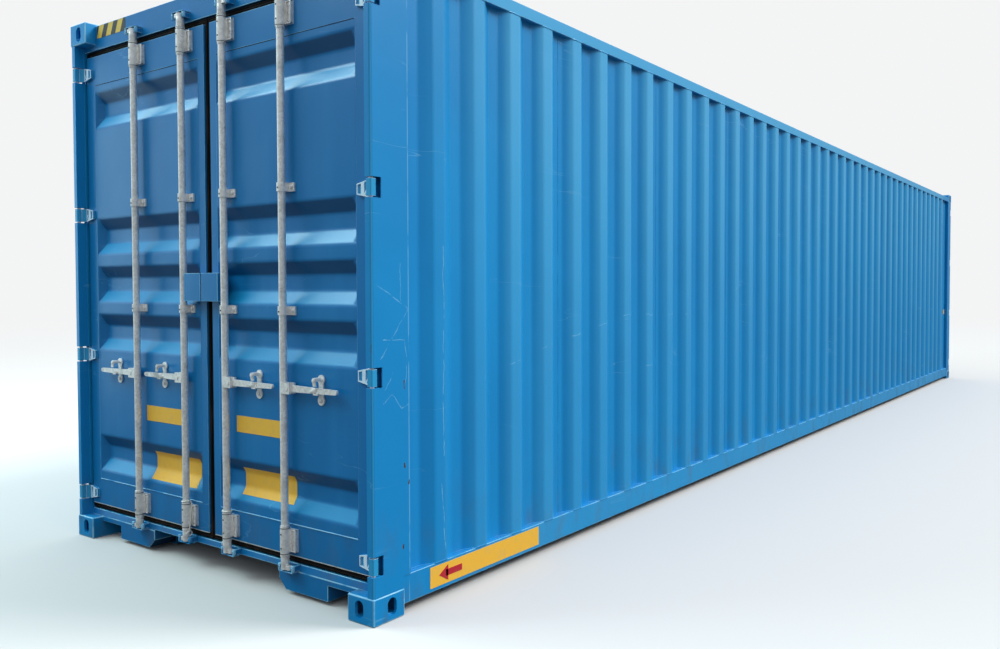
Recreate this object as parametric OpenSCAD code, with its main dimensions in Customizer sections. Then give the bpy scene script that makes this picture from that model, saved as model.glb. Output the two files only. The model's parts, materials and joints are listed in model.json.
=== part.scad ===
// Forty foot high-cube steel box with a gooseneck tunnel and double doors at both ends.
// The origin is on the ground, in the middle of the footprint. +X runs along the length,
// and the tunnel end faces -X. Right and left are as seen by someone who looks along +X.

/* [Envelope] */
// Length over the corner castings
body_l = 12192; // [9000:1:13716]
// Width over the corner castings
body_w = 2438; // [2380:1:2600]
// Height over the corner castings
body_h = 2896; // [2591:1:3000]

/* [Corner castings] */
// Casting length along the box
cast_l = 178; // [170:1:200]
// Casting width across the box
cast_w = 162; // [155:1:175]
// Casting height
cast_h = 118; // [112:1:130]
// Thickness of the plate with the twistlock slot
cast_plate = 28; // [20:1:34]
// Thickness of the outer walls of a casting
cast_wall = 15; // [10:1:20]
// Thickness of its closed inner walls
cast_back = 9; // [6:1:14]
// Twistlock slot, end to end
slot_l = 124; // [110:1:130]
// Twistlock slot width
slot_w = 63.5; // [55:0.5:68]
// Slot centre from the end of the box
slot_u = 103.5; // [98:0.5:110]
// Slot centre from the side of the box
slot_v = 89.5; // [84:0.5:92]
// Lashing hole height
lash_h = 79.5; // [60:0.5:84]
// Lashing hole width
lash_w = 51; // [40:0.5:60]
// Lashing hole centre above the casting's aperture face
lash_z = 60; // [56:0.5:64]

/* [End frames] */
// Depth of the doors, sill and header behind the end plane
recess = 56; // [50:1:64]
// Depth of a corner post along the box
post_d = 215; // [190:1:240]
// Post skin set in from the end and side planes
post_set = 2; // [1:0.5:3]
// Post skin thickness
post_t = 6; // [4:0.5:8]
// Width of the narrow face in front of the hinge pins
post_nose = 40; // [38:1:44]
// Width of the post behind the doors
post_w = 48; // [46:1:56]
// Thickness of the inner channel of the post
channel_t = 10; // [6:1:12]
// Bend radius of the post's outer corner
post_r = 12; // [6:1:14]
// Top of the door sill
sill_top = 152; // [148:1:160]
// Plate thickness of sill and header
sill_t = 6; // [4:0.5:10]
// Underside of the sill's deep parts
sill_low = 20; // [16:1:40]
// Underside of the sill beside the castings
sill_notch = 92; // [84:1:110]
// Width of that notch beside the castings
notch_w = 192; // [120:1:240]
// Depth of the slope along the front edge of a sill
lip_d = 8; // [3:1:12]
// Width of the slanted corner where the near sill rises over the tunnel
slant_w = 52; // [30:1:60]
// Height of that corner
slant_h = 47; // [30:1:60]
// Underside of the header below the top of the castings
header_deep = 148; // [136:1:170]
// Top of the header below the top of the castings
header_drop = 14; // [6:1:30]

/* [Side rails, walls and roof] */
// Outer faces of rails and walls, set in from the side plane
side_set = 5; // [4:0.5:9]
// Height of the bottom side rail
rail_h = 124; // [110:1:150]
// Underside of the bottom side rail
rail_low = 48; // [20:1:60]
// Flange width of the bottom side rail
rail_flange = 48; // [44:1:60]
// Steel thickness of the bottom side rail
rail_t = 4.5; // [3:0.5:6]
// Side of the square top rail
top_rail = 60; // [50:1:70]
// Wall thickness of the top rail
top_rail_t = 3; // [2:0.5:5]
// Top of the top rail below the top of the castings
top_drop = 50; // [30:1:60]
// Thickness of the corrugated side wall
wall_t = 2; // [1.6:0.1:3]
// Depth of the side corrugations
corr_d = 36; // [25:1:42]
// Width of an outer flat
corr_out = 72; // [60:1:90]
// Width of an inner flat
corr_in = 70; // [60:1:90]
// Length of a slope, measured along the box
corr_slope = 68; // [50:1:80]
// First outer flat, from the end of the box
corr_first = 377; // [360:1:400]
// Pitch of the roof corrugations
roof_pitch = 209; // [180:1:240]
// Height of the roof corrugations
roof_rise = 20; // [12:1:26]
// Flat part of a roof crest
roof_crest = 90; // [60:1:110]
// Slope of a roof corrugation, measured along the box
roof_slope = 14; // [10:1:30]
// Roof sheet thickness
roof_t = 2; // [1.6:0.1:3]
// Roof sheet set in from the outer faces of the top rails
roof_set = 2; // [1:1:6]
// Flat edge of the roof beside its corrugations
roof_flat = 80; // [70:1:120]
// Width of a ventilator cover
vent_w = 60; // [40:1:66]
// Height of a ventilator cover
vent_h = 90; // [60:1:200]
// Depth of a ventilator cover
vent_d = 14; // [10:1:25]
// Middle of a ventilator cover below the top rail
vent_drop = 90; // [60:1:200]

/* [Base] */
// Thickness of the plywood floor
floor_t = 28; // [20:1:30]
// Top of the floor
floor_top = 168; // [162:1:180]
// Depth of a crossmember
cross_h = 122; // [100:1:126]
// Flange width of a crossmember
cross_w = 45; // [35:1:60]
// Steel thickness of a crossmember
cross_t = 4; // [3:0.5:6]
// Greatest spacing of the crossmembers
cross_pitch = 305; // [250:1:400]
// Clear width of the gooseneck tunnel
tunnel_w = 1050; // [1029:1:1060]
// Length of the gooseneck tunnel
tunnel_l = 3300; // [3000:1:3500]
// Thickness of the tunnel's top plate
tunnel_t = 11; // [6:1:14]
// Width of the tunnel's side rails
tunnel_rail = 46; // [40:1:60]

/* [Door leaves] */
// Thickness of a leaf
leaf_t = 50; // [44:1:60]
// Leaf edge on the hinge side, from the side plane
leaf_edge = 64; // [62:1:70]
// Half of the gap between the two leaf frames
seam_half = 25; // [20:1:30]
// Half of the gap between the two seals
seal_gap = 4.5; // [4.5:0.1:6]
// Running gap round the seals
seal_clear = 6; // [5.5:0.1:8]
// Bottom edge of the leaves
leaf_low = 190; // [186:1:210]
// Top edge of the leaves below the header
leaf_drop = 32; // [28:1:50]
// Depth of the door seals
seal_d = 30; // [20:1:38]
// Seals set back behind the front of the leaves
seal_set = 10; // [6:1:16]
// Hinge-side frame tube width
stile_hinge = 86; // [80:1:110]
// Seam-side frame tube width
stile_seam = 50; // [44:1:80]
// Height of the bottom frame channel
rail_bottom = 144; // [120:1:160]
// Height of the top frame channel
rail_top = 163; // [120:1:180]
// Wall thickness of the leaf frame
frame_t = 3.2; // [2.5:0.1:6]
// Thickness of the door sheet
sheet_t = 2; // [1.6:0.1:3]
// Depth of the door corrugations
dent_d = 38; // [30:1:42]
// Flat floor height of a door corrugation
dent_flat = 70; // [50:1:80]
// Slope height of a door corrugation
dent_slope = 66; // [50:1:72]
// Slope length at the ends of a door corrugation
dent_end = 34; // [20:1:50]
// Flat strip between the upright tubes and the door corrugations
dent_strip = 4; // [2:1:20]
// Middles of the door corrugations, as shares of the height of a leaf
dent_at = [0.117, 0.388, 0.494, 0.6, 0.88]; // [0.05:0.001:0.95]

/* [Hinges] */
// Hinge axis behind the end plane
axis_u = 20; // [19:0.5:22]
// Hinge axis in from the side plane
axis_v = 22; // [21:0.5:24]
// Hinge pin radius
pin_r = 9; // [7:0.5:10]
// Radial running clearance of pin and rod bores
run_fit = 0.1; // [0.05:0.01:0.3]
// Height of a pin's head
pin_cap = 6; // [4:1:10]
// Reach of that head beyond the pin
pin_lip = 2; // [1:0.5:3]
// Half width of a hinge knuckle, which is square with rounded corners
knuckle_r = 15.5; // [14:0.5:16.5]
// Radius of those corners
knuckle_ease = 6; // [3:0.5:9]
// Height of a hinge knuckle and blade
knuckle_h = 72; // [60:1:84]
// Thickness of a hinge blade
blade_t = 14; // [10:1:16]
// Length of a hinge blade on the leaf
blade_l = 69; // [60:1:84]
// Full-height part of that length
blade_heel = 6; // [4:1:12]
// Height of the blade at its tip
blade_tip = 46; // [36:1:60]
// Width of the raised rim round a blade
rim_w = 6; // [4:0.5:8]
// Depth of the two pockets inside the rim
rim_d = 5; // [2:0.5:7]
// Sides of the raised band between the pockets, as shares of the taper
band_at = [0.25, 0.59]; // [0.1:0.01:0.8]
// Height of the lowest hinge
hinge_low = 250; // [240:1:300]
// Height of the highest hinge below the top of the leaves
hinge_end = 96; // [90:1:140]
// Space above and below a knuckle in the post
hinge_space = 7; // [6:1:14]
// Thickness of the lugs that hold a pin
lug_t = 12; // [8:1:16]
// Depth of the hinge cut-outs in the post
cut_u = 58; // [56:1:64]

/* [Locking bars] */
// Radius of a locking bar
rod_r = 17; // [13:0.5:18]
// Bar axis behind the end plane
rod_u = 25; // [24:0.5:28]
// Inner bars from the middle of the box
rod_inner = 172; // [160:1:200]
// Outer bars from the middle of the box
rod_outer = 612; // [560:1:640]
// Lower end of the bars and their cams
cam_low = 132; // [130:1:136]
// Upper end of the bars below the top of the castings
cam_drop = 110; // [105:1:120]
// Height of a cam
cam_h = 18; // [14:1:20]
// Cam hub radius
cam_r = 19; // [17.5:0.5:20]
// Reach of a cam hook from the bar axis
cam_reach = 42; // [36:1:46]
// Thickness of a cam hook
cam_t = 22; // [16:1:26]
// Clear space between cam and keeper
cam_clear = 7; // [6:0.1:8]
// Thickness of a keeper lug
keeper_t = 12; // [8:1:14]
// Front of the keepers behind the end plane
keeper_u = 14; // [8:1:18]
// Cut corners at the front of a keeper lug
keeper_ease = 8; // [4:1:10]
// Thickness of a keeper cap
cap_t = 4; // [3:0.5:5]
// Reach of a keeper lug above and below its cam
keeper_over = 3; // [2:0.5:3.5]
// Gap between bar and bracket bore
rod_gap = 0.3; // [0.2:0.05:0.5]
// Outer radius of a bearing bracket
bearing_r = 22; // [20.5:0.5:22.5]
// Height of the end bearings
bearing_h = 104; // [80:1:120]
// Middle height of the lower bearings
bearing_low = 262; // [250:1:290]
// Middle of the upper bearings below the top of the castings
bearing_drop = 246; // [236:1:270]
// Height of the strap guides
guide_h = 40; // [30:1:60]
// Strap guides, as shares of the height of a leaf
guide_at = [0.444, 0.665]; // [0.4:0.001:0.8]
// Flange width of a bracket
flange_w = 34; // [26:1:44]
// Flange thickness
flange_t = 8; // [6:1:12]
// Height of a thrust collar on a bar
collar_h = 12; // [8:1:20]
// Thickness of a thrust collar
collar_t = 4.5; // [3:0.5:5]
// Vertical play between collar and bearing
collar_gap = 0.5; // [0.3:0.1:1]

/* [Handles] */
// Height of the handle pivots
handle_z = 962; // [900:1:1050]
// Pivot distance from the bar axis
pivot_r = 42; // [36:1:48]
// Pivot bolt radius
bolt_r = 7; // [5:0.5:8]
// Front of the handle hub behind the end plane
hub_u = 7; // [5:0.5:9]
// Depth of the handle hub
hub_d = 36; // [32:1:38]
// Height of the handle hub
hub_h = 50; // [44:1:60]
// Reach of the hub beyond its bolt
hub_end = 19; // [16:1:22]
// Play on each side of the handle in its hub
fork_gap = 1; // [0.5:0.1:2]
// Radius of the bolt's head
head_r = 11; // [9:0.5:14]
// Thickness of that head
head_t = 2.5; // [2:0.5:3.5]
// Thickness of the handle bar
handle_t = 12; // [10:1:14]
// Length of the handle from its pivot
handle_l = 322; // [280:1:330]
// Height of the handle bar over its shelf
handle_h = 26; // [20:1:30]
// Height of the handle bar at its hub
handle_root = 32; // [28:1:38]
// Radius of the handle's tip
handle_tip = 10.5; // [8:0.5:12]
// Retainer distance from the bar axis
catch_r = 226; // [200:1:250]
// Width of a retainer plate
catch_w = 44; // [36:1:56]
// Width of a retainer plate between its ears
catch_neck = 30; // [24:1:44]
// Height of a retainer plate between its ear centres
catch_h = 92; // [86:1:110]
// Thickness of a retainer plate
catch_t = 6; // [4:1:8]
// Depth of the shelf that the handle rests on
shelf_d = 32; // [26:1:36]
// Thickness of that shelf
shelf_t = 6; // [4:0.5:8]
// Play between handle and shelf
shelf_gap = 0.3; // [0.2:0.1:0.8]
// Radius of the retainer's stud
stud_r = 5; // [4:0.5:7]
// Front of a catch flap behind the end plane
flap_u = 9; // [8:0.5:10]
// Length of a catch flap
flap_l = 26; // [16:1:27]
// Width of a catch flap
flap_w = 20; // [16:1:22]
// Sideways shift of its foot
flap_skew = 6; // [0:1:8]
// Radius of its eye
flap_eye = 12; // [10:0.5:13]
// Flap thickness
flap_t = 5; // [4:0.5:6]

/* [Lock box] */
// Half width of the padlock box
lock_w = 140; // [110:1:150]
// Height of the padlock box
lock_h = 138; // [110:1:160]
// Middle of the padlock box above the middle of the lower guides
lock_rise = 108; // [100:1:160]
// Front of the padlock box behind the end plane
lock_u = 8; // [6:0.5:12]
// Steel thickness of the padlock box
lock_t = 4; // [3:0.5:6]
// Half of the gap between the two halves of the box
box_gap = 4; // [3:0.5:6]

/* [Door ropes] */
// Rope thickness
rope_d = 6; // [5:0.5:6.5]
// Middle radius of the ring at a rope's end
ring_r = 12; // [10:0.5:14]
// Wire thickness of that ring
ring_d = 5; // [4:0.5:6]

/* [Hidden] */
$fn = 48;
eps = 1;
hair = 0.01;
side_blue = "#2a86c0";
end_blue = "#1a649e";
zinc = "#a9adb0";
rubber = "#1d1b1a";
half_l = body_l / 2;
half_w = body_w / 2;
sill_d = cast_l - recess;
top_rail_z = body_h - top_drop - top_rail;
rail_top_z = rail_low + rail_h;
corr_pitch = corr_out + corr_in + 2 * corr_slope;
wall_lx = half_l - post_d;
corr_count = floor((2 * (half_l - corr_first) - corr_out) / corr_pitch) + 1;
leaf_w = half_w - leaf_edge - seam_half;
header_low = body_h - header_deep;
leaf_top = header_low - leaf_drop;
leaf_h = leaf_top - leaf_low;
hinge_step = (leaf_top - hinge_end - hinge_low) / 3;
hinge_z = [for (i = [0:3]) hinge_low + i * hinge_step];
dent_z = [for (share = dent_at) leaf_low + share * leaf_h];
guide_z = [for (share = guide_at) leaf_low + share * leaf_h];
lock_z = guide_z[0] + lock_rise;
lug_z = knuckle_h / 2 + hinge_space;
cam_top = body_h - cam_drop;
bearing_top = body_h - bearing_drop;
rod_y = [rod_inner, rod_outer];
rope_path = [
    [19, -11, 334], [7.5, -20.5, 334], [-7.5, -20.5, 334], [-18.5, -11, 334], [-21.5, 0, 335],
    [-18.5, 11, 336], [-7.5, 20.5, 337], [4, 22, 337], [10, 24, 333], [12, 26, 324],
    [12, 26.5, 310], [10.5, 26.5, 295], [9, 26, 280], [7, 26, 265], [5, 26, 250],
    [3.5, 26, 235], [2, 26, 220], [1, 26, 205], [0, 26, 195], [0, 26, 187.3]
];
handle_u = hub_u + hub_d / 2;
floor_low = floor_top - floor_t;
cross_low = floor_low - cross_h;
deck_y = half_w - side_set - rail_flange;

// Points of an arc about a centre
function arc(c, r, a0, a1, n = 6) =
    [for (i = [0:n]) c + r * [cos(a0 + (a1 - a0) * i / n), sin(a0 + (a1 - a0) * i / n)]];

// The tunnel end as modelled, or the same thing turned to the far end
module at_end(far = false) {
    mirror([far ? 1 : 0, 0, 0]) translate([-half_l, 0, 0]) children();
}

// Right-hand corner of an end, with x from the end plane and y from the side plane
module at_corner(left = false) {
    mirror([0, left ? 1 : 0, 0]) translate([0, -half_w, 0]) children();
}

module both_corners() {
    at_corner() children();
    at_corner(true) children();
}

module both_sides() {
    children();
    mirror([0, 1, 0]) children();
}

// Slot or lashing hole outline, long way along its first axis
module stadium(l, w) {
    square([l - w, w], center = true);
    for (s = [-1, 1]) translate([s * (l - w) / 2, 0]) circle(d = w);
}

module casting() {
    difference() {
        cube([cast_l, cast_w, cast_h]);
        translate([cast_wall, cast_wall, cast_plate])
            cube([cast_l - cast_wall - cast_back, cast_w - cast_wall - cast_back,
                  cast_h - cast_plate - cast_back]);
        translate([slot_u, slot_v, -eps]) linear_extrude(cast_plate + 2 * eps)
            stadium(slot_l, slot_w);
        translate([-eps, slot_v, lash_z]) rotate([0, 90, 0])
            linear_extrude(cast_wall + 2 * eps) stadium(lash_h, lash_w);
        translate([slot_u, -eps, lash_z]) rotate([-90, 0, 0])
            linear_extrude(cast_wall + 2 * eps) rotate(90) stadium(lash_h, lash_w);
    }
}

module corner_castings() {
    color(side_blue) for (far = [false, true]) at_end(far) both_corners() {
        casting();
        translate([0, 0, body_h]) mirror([0, 0, 1]) casting();
    }
}

// Section of a corner post, with the bent skin in front and the channel behind the doors
module post_section() {
    a = post_set;
    b = post_set + post_t;
    difference() {
        polygon(concat(
            arc([a + post_r, a + post_r], post_r, 270, 180),
            [[a, post_nose], [recess - post_t, post_nose], [recess - post_t, post_w],
             [post_d, post_w], [post_d, a]]));
        polygon(concat(
            arc([a + post_r, a + post_r], post_r - post_t, 270, 180),
            [[b, post_nose - post_t], [recess, post_nose - post_t],
             [recess, post_w - channel_t], [post_d - post_t, post_w - channel_t],
             [post_d - post_t, b]]));
    }
}

// Part of a post between two depths and two heights
module post_bar(u0, u1, z0, z1) {
    translate([0, 0, z0]) linear_extrude(z1 - z0) intersection() {
        post_section();
        translate([u0, 0]) square([u1 - u0, post_w]);
    }
}

module post() {
    difference() {
        union() {
            post_bar(0, cast_l, cast_h, body_h - cast_h);
            post_bar(cast_l, post_d, rail_top_z, top_rail_z);
            for (z = hinge_z) for (s = [-1, 1])
                translate([post_set + post_t / 2, post_set + post_t / 2,
                           z + s * (lug_z + lug_t / 2) - lug_t / 2])
                    cube([recess - post_set - post_t, post_nose - post_set - post_t, lug_t]);
        }
        for (z = hinge_z) {
            translate([-eps, -eps, z - lug_z]) cube([cut_u + eps, post_w + 2 * eps, 2 * lug_z]);
            translate([axis_u, axis_v, z - lug_z - lug_t - eps])
                cylinder(r = pin_r + run_fit, h = 2 * (lug_z + lug_t + eps));
        }
    }
}

module posts(far) {
    color(side_blue) at_end(far) both_corners() post();
}

module near_posts() posts(false);
module far_posts() posts(true);

module top_rails() {
    color(side_blue) both_sides()
        translate([-half_l + cast_l, -half_w + side_set, top_rail_z]) difference() {
            cube([body_l - 2 * cast_l, top_rail, top_rail]);
            translate([-eps, top_rail_t, top_rail_t])
                cube([body_l - 2 * cast_l + 2 * eps, top_rail - 2 * top_rail_t,
                      top_rail - 2 * top_rail_t]);
        }
}

// Channel that opens inward, with its flanges towards the middle of the box
module bottom_rails() {
    color(side_blue) both_sides()
        translate([-half_l + cast_l, -half_w + side_set, rail_low]) difference() {
            cube([body_l - 2 * cast_l, rail_flange, rail_h]);
            translate([-eps, rail_t, rail_t])
                cube([body_l - 2 * cast_l + 2 * eps, rail_flange, rail_h - 2 * rail_t]);
        }
}

// Outline drawn across the box and up, and extruded along it
module upright(points, u, t) {
    translate([u, 0, 0]) rotate([90, 0, 90]) linear_extrude(t) polygon(points);
}

// Front outline of a sill or header, given for one half
module across(points, u, t) {
    upright(concat(points, [for (i = [len(points) - 1:-1:0]) [-points[i][0], points[i][1]]]), u, t);
}

// Outline drawn along the box and up, and extruded across it from y towards the right
module sideways(points, y, w) {
    translate([0, y, 0]) rotate([90, 0, 0]) linear_extrude(w) polygon(points);
}

// Side profile of a sill, set back by g: its front slopes back above the castings
module sill_side(g) {
    sideways([[recess + g, 0], [recess + g, cast_h], [recess + lip_d + g, sill_top],
              [cast_l + g, sill_top], [cast_l + g, 0]], half_w, body_w);
}

// Depth of that slope at a height
function lip_at(z) = lip_d * max(0, z - cast_h) / (sill_top - cast_h);

module header(far) {
    y1 = half_w - cast_w;
    y2 = half_w - post_w;
    top = body_h - header_drop;
    shoulder = body_h - cast_h;
    outline = [[y1, top], [y1, shoulder], [y2, shoulder], [y2, header_low]];
    at_end(far) difference() {
        across(outline, recess, sill_d);
        across([[y1 - sill_t, top - sill_t], [y1 - sill_t, header_low + sill_t]],
               recess + sill_t, sill_d - 2 * sill_t);
    }
}

module headers() {
    color(end_blue) {
        header(false);
        header(true);
    }
}

// The near sill is raised over the tunnel and cut up beside the castings
module near_sill() {
    y0 = tunnel_w / 2;
    y1 = half_w - cast_w - notch_w;
    y2 = half_w - cast_w;
    y3 = half_w - post_w;
    t = sill_t;
    under = floor_low - tunnel_t - t;
    color(end_blue) at_end() difference() {
        intersection() {
            across([[y3, sill_top], [y3, cast_h], [y2, cast_h], [y2, sill_notch], [y1, sill_notch],
                    [y1, sill_low], [y0 + slant_w, sill_low], [y0, sill_low + slant_h],
                    [y0, under]], recess, sill_d);
            sill_side(0);
        }
        intersection() {
            both_sides()
                upright([[y0 + t, sill_top - t], [y0 + t, sill_low + slant_h + t / 2],
                         [y0 + slant_w + t / 2, sill_low + t], [y1 - t, sill_low + t],
                         [y1 - t, sill_top - t]], recess, 2 * sill_d);
            sill_side(t);
        }
    }
}

module far_sill() {
    y1 = half_w - cast_w - notch_w;
    y2 = half_w - cast_w;
    y3 = half_w - post_w;
    t = sill_t;
    color(end_blue) at_end(true) difference() {
        intersection() {
            across([[y3, sill_top], [y3, cast_h], [y2, cast_h], [y2, sill_notch], [y1, sill_notch],
                    [y1, sill_low]], recess, sill_d);
            sill_side(0);
        }
        intersection() {
            across([[y1 - t, sill_top - t], [y1 - t, sill_low + t]], recess, 2 * sill_d);
            sill_side(t);
        }
    }
}

// Wall line in plan: inner level at both ends, and the corrugations between them
function corr_line(d) = concat(
    [[-wall_lx, corr_d + d]],
    [for (i = [0:corr_count - 1])
        let (x = corr_first - half_l + i * corr_pitch)
        each [[x - corr_slope, corr_d + d], [x, d], [x + corr_out, d],
              [x + corr_out + corr_slope, corr_d + d]]],
    [[wall_lx, corr_d + d]]);

function reversed(list) = [for (i = [len(list) - 1:-1:0]) list[i]];

module right_wall() {
    color(side_blue) translate([0, -half_w + side_set, rail_top_z])
        linear_extrude(top_rail_z - rail_top_z)
            polygon(concat(corr_line(0), reversed(corr_line(wall_t))));
}

module left_wall() {
    mirror([0, 1, 0]) right_wall();
}

// Roof sheet with stamped crests, closed by a skirt at both sides
module roof() {
    x1 = half_l - recess - sill_d;
    y1 = half_w - side_set - roof_set;
    y2 = y1 - roof_flat;
    z0 = body_h - top_drop;
    count = floor(2 * x1 / roof_pitch) - 1;
    start = -(count * roof_pitch - (roof_pitch - roof_crest - 2 * roof_slope)) / 2;
    crest = [for (i = [0:count - 1]) let (x = start + i * roof_pitch)
        each [[x, 0], [x + roof_slope, roof_rise],
              [x + roof_slope + roof_crest, roof_rise], [x + 2 * roof_slope + roof_crest, 0]]];
    line_low = concat([[-x1, 0]], crest, [[x1, 0]]);
    line_top = [for (p = line_low) p + [0, roof_t]];
    color(side_blue) translate([0, 0, z0]) {
        translate([0, y2, 0]) rotate([90, 0, 0]) linear_extrude(2 * y2)
            polygon(concat(line_low, reversed(line_top)));
        both_sides() {
            translate([-x1, y2, 0]) cube([2 * x1, roof_flat, roof_t]);
            translate([0, y2 + roof_t, 0]) rotate([90, 0, 0]) linear_extrude(roof_t)
                polygon(concat([[-x1, 0]], [for (p = crest) p + [0, roof_t]], [[x1, 0]]));
        }
    }
}

module floor_deck() {
    x1 = half_l - recess - sill_d;
    color("#8a6a48") translate([-x1, -deck_y, floor_low]) cube([2 * x1, 2 * deck_y, floor_t]);
}

module channel_bar(l) {
    translate([0, l, 0]) rotate([90, 0, 0]) linear_extrude(l) difference() {
        square([cross_w, cross_h]);
        translate([cross_t, cross_t]) square([cross_w, cross_h - 2 * cross_t]);
    }
}

module crossmembers() {
    x_tunnel = -half_l + recess + tunnel_l;
    x_near = -half_l + recess + sill_d;
    x_far = half_l - recess - sill_d - cross_w;
    n = ceil((x_far - x_tunnel) / cross_pitch);
    m = ceil((x_tunnel - x_near) / cross_pitch);
    side_in = tunnel_w / 2 + tunnel_rail;
    color(end_blue) {
        for (i = [0:n]) translate([x_tunnel + (x_far - x_tunnel) * i / n, -deck_y, cross_low])
            channel_bar(2 * deck_y);
        for (i = [1:m - 1]) both_sides()
            translate([x_near + (x_tunnel - x_near) * i / m, -deck_y, cross_low])
                channel_bar(deck_y - side_in);
    }
}

module gooseneck_tunnel() {
    y1 = tunnel_w / 2 + tunnel_rail;
    color(end_blue) translate([-half_l + cast_l, -y1, floor_low - tunnel_t])
        cube([tunnel_l - sill_d, 2 * y1, tunnel_t]);
}

// Channels under the edges of the tunnel's top plate, open outward
module tunnel_rails() {
    l = tunnel_l - sill_d;
    h = floor_low - tunnel_t - cross_low;
    color(end_blue) both_sides()
        translate([-half_l + cast_l, -tunnel_w / 2 - tunnel_rail, cross_low]) difference() {
            cube([l, tunnel_rail, h]);
            translate([-eps, -eps, cross_t])
                cube([l + 2 * eps, tunnel_rail - cross_t + eps, h - 2 * cross_t]);
        }
}

// One small cover high on each side wall, at opposite ends
module ventilators() {
    first = corr_first - half_l + corr_out + corr_slope + corr_in / 2;
    last = first + (corr_count - 2) * corr_pitch;
    color(side_blue) {
        translate([last - vent_w / 2, -half_w + side_set + corr_d - vent_d,
                   top_rail_z - vent_drop - vent_h / 2])
            cube([vent_w, vent_d, vent_h]);
        translate([first - vent_w / 2, half_w - side_set - corr_d,
                   top_rail_z - vent_drop - vent_h / 2])
            cube([vent_w, vent_d, vent_h]);
    }
}

module hinge_pins() {
    color(zinc) for (far = [false, true]) at_end(far) both_corners() for (z = hinge_z)
        translate([axis_u, axis_v, z - lug_z - lug_t]) {
            cylinder(r = pin_r, h = 2 * (lug_z + lug_t) + pin_cap);
            translate([0, 0, 2 * (lug_z + lug_t)]) cylinder(r = pin_r + pin_lip, h = pin_cap);
        }
}

// Keepers stand on both sides of each cam, and their caps lie beyond its end
module keepers(part) {
    inner = cam_r + cam_clear + keeper_t;
    outer = -cam_reach - cam_clear;
    both_sides() for (y = rod_y) translate([0, -y, 0]) for (top = [0, 1]) {
        z = top ? cam_top - cam_h : cam_low;
        low = z - keeper_over;
        high = z + cam_h + keeper_over;
        cap = top ? z + cam_h + cam_clear : z - cam_clear - cap_t;
        slope = top ? 0 : 1;
        if (part == "lug") for (y = [inner, outer])
            sideways([[keeper_u + keeper_ease, low], [keeper_u, low + keeper_ease],
                      [keeper_u, high - keeper_ease], [keeper_u + keeper_ease, high],
                      [recess + slope * lip_at(high), high], [recess + slope * lip_at(low), low]],
                     y, keeper_t);
        else
            sideways([[keeper_u, cap], [keeper_u, cap + cap_t],
                      [recess + slope * lip_at(cap + cap_t), cap + cap_t],
                      [recess + slope * lip_at(cap), cap]], inner, inner - outer + keeper_t);
    }
}

module keeper_lugs() {
    color(end_blue) for (far = [false, true]) at_end(far) keepers("lug");
}

module keeper_caps() {
    color(end_blue) for (far = [false, true]) at_end(far) keepers("cap");
}

// A leaf part is drawn for the right-hand leaf and mirrored for the left one
module leaf(left = false, far = false) {
    at_end(far) at_corner(left) children();
}

module leaf_frame() {
    tube = leaf_t - 2 * frame_t;
    color(end_blue) {
        for (v = [[leaf_edge, stile_hinge], [half_w - seam_half - stile_seam, stile_seam]])
            translate([recess, v[0], leaf_low]) difference() {
                cube([leaf_t, v[1], leaf_h]);
                translate([frame_t, frame_t, frame_t])
                    cube([tube, v[1] - 2 * frame_t, leaf_h - 2 * frame_t]);
            }
        for (z = [[leaf_low, rail_bottom], [leaf_top - rail_top, rail_top]])
            translate([recess, leaf_edge + stile_hinge - frame_t / 2, z[0]]) difference() {
                cube([leaf_t, leaf_w - stile_hinge - stile_seam + frame_t, z[1]]);
                translate([frame_t, -eps, frame_t])
                    cube([leaf_t, leaf_w + 2 * eps, z[1] - 2 * frame_t]);
            }
    }
}

// Recess of one door corrugation, grown by g on its inner side
module dent(g) {
    y0 = leaf_edge + stile_hinge + dent_strip;
    y1 = half_w - seam_half - stile_seam - dent_strip;
    h = dent_flat / 2 + dent_slope;
    intersection() {
        translate([0, y1 + dent_end, 0]) rotate([90, 0, 0])
            linear_extrude(y1 - y0 + 2 * dent_end)
            polygon([[-eps, h + g], [0, h + g], [dent_d + g, dent_flat / 2 + g],
                     [dent_d + g, -dent_flat / 2 - g], [0, -h - g], [-eps, -h - g]]);
        translate([0, 0, -h - g - eps]) linear_extrude(2 * (h + g + eps))
            polygon([[-eps, y0 - g], [0, y0 - g], [dent_d + g, y0 + dent_end - g],
                     [dent_d + g, y1 - dent_end + g], [0, y1 + g], [-eps, y1 + g]]);
    }
}

module leaf_sheet() {
    y0 = leaf_edge + stile_hinge;
    y1 = half_w - seam_half - stile_seam;
    z0 = leaf_low + rail_bottom;
    z1 = leaf_top - rail_top;
    color(end_blue) translate([recess, 0, 0]) difference() {
        union() {
            translate([0, y0, z0]) cube([sheet_t, y1 - y0, z1 - z0]);
            for (z = dent_z) translate([0, 0, z]) intersection() {
                dent(sheet_t);
                translate([0, y0, -rail_bottom]) cube([leaf_t, y1 - y0, 2 * rail_bottom]);
            }
        }
        for (z = dent_z) translate([-hair, 0, z]) dent(0);
    }
}

module leaf_seal() {
    v0 = post_w + seal_clear;
    v1 = half_w - seal_gap;
    z0 = sill_top + seal_clear;
    z1 = header_low - seal_clear;
    color(rubber) translate([recess + seal_set, 0, 0]) difference() {
        translate([0, v0, z0]) cube([seal_d, v1 - v0, z1 - z0]);
        translate([-eps, leaf_edge, leaf_low]) cube([seal_d + 2 * eps, leaf_w, leaf_h]);
    }
}

// Square of half width w with rounded corners
module rounded(w, r) {
    square([2 * w, 2 * (w - r)], center = true);
    square([2 * (w - r), 2 * w], center = true);
    for (a = [-1, 1], b = [-1, 1]) translate((w - r) * [a, b]) circle(r = r);
}

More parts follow.
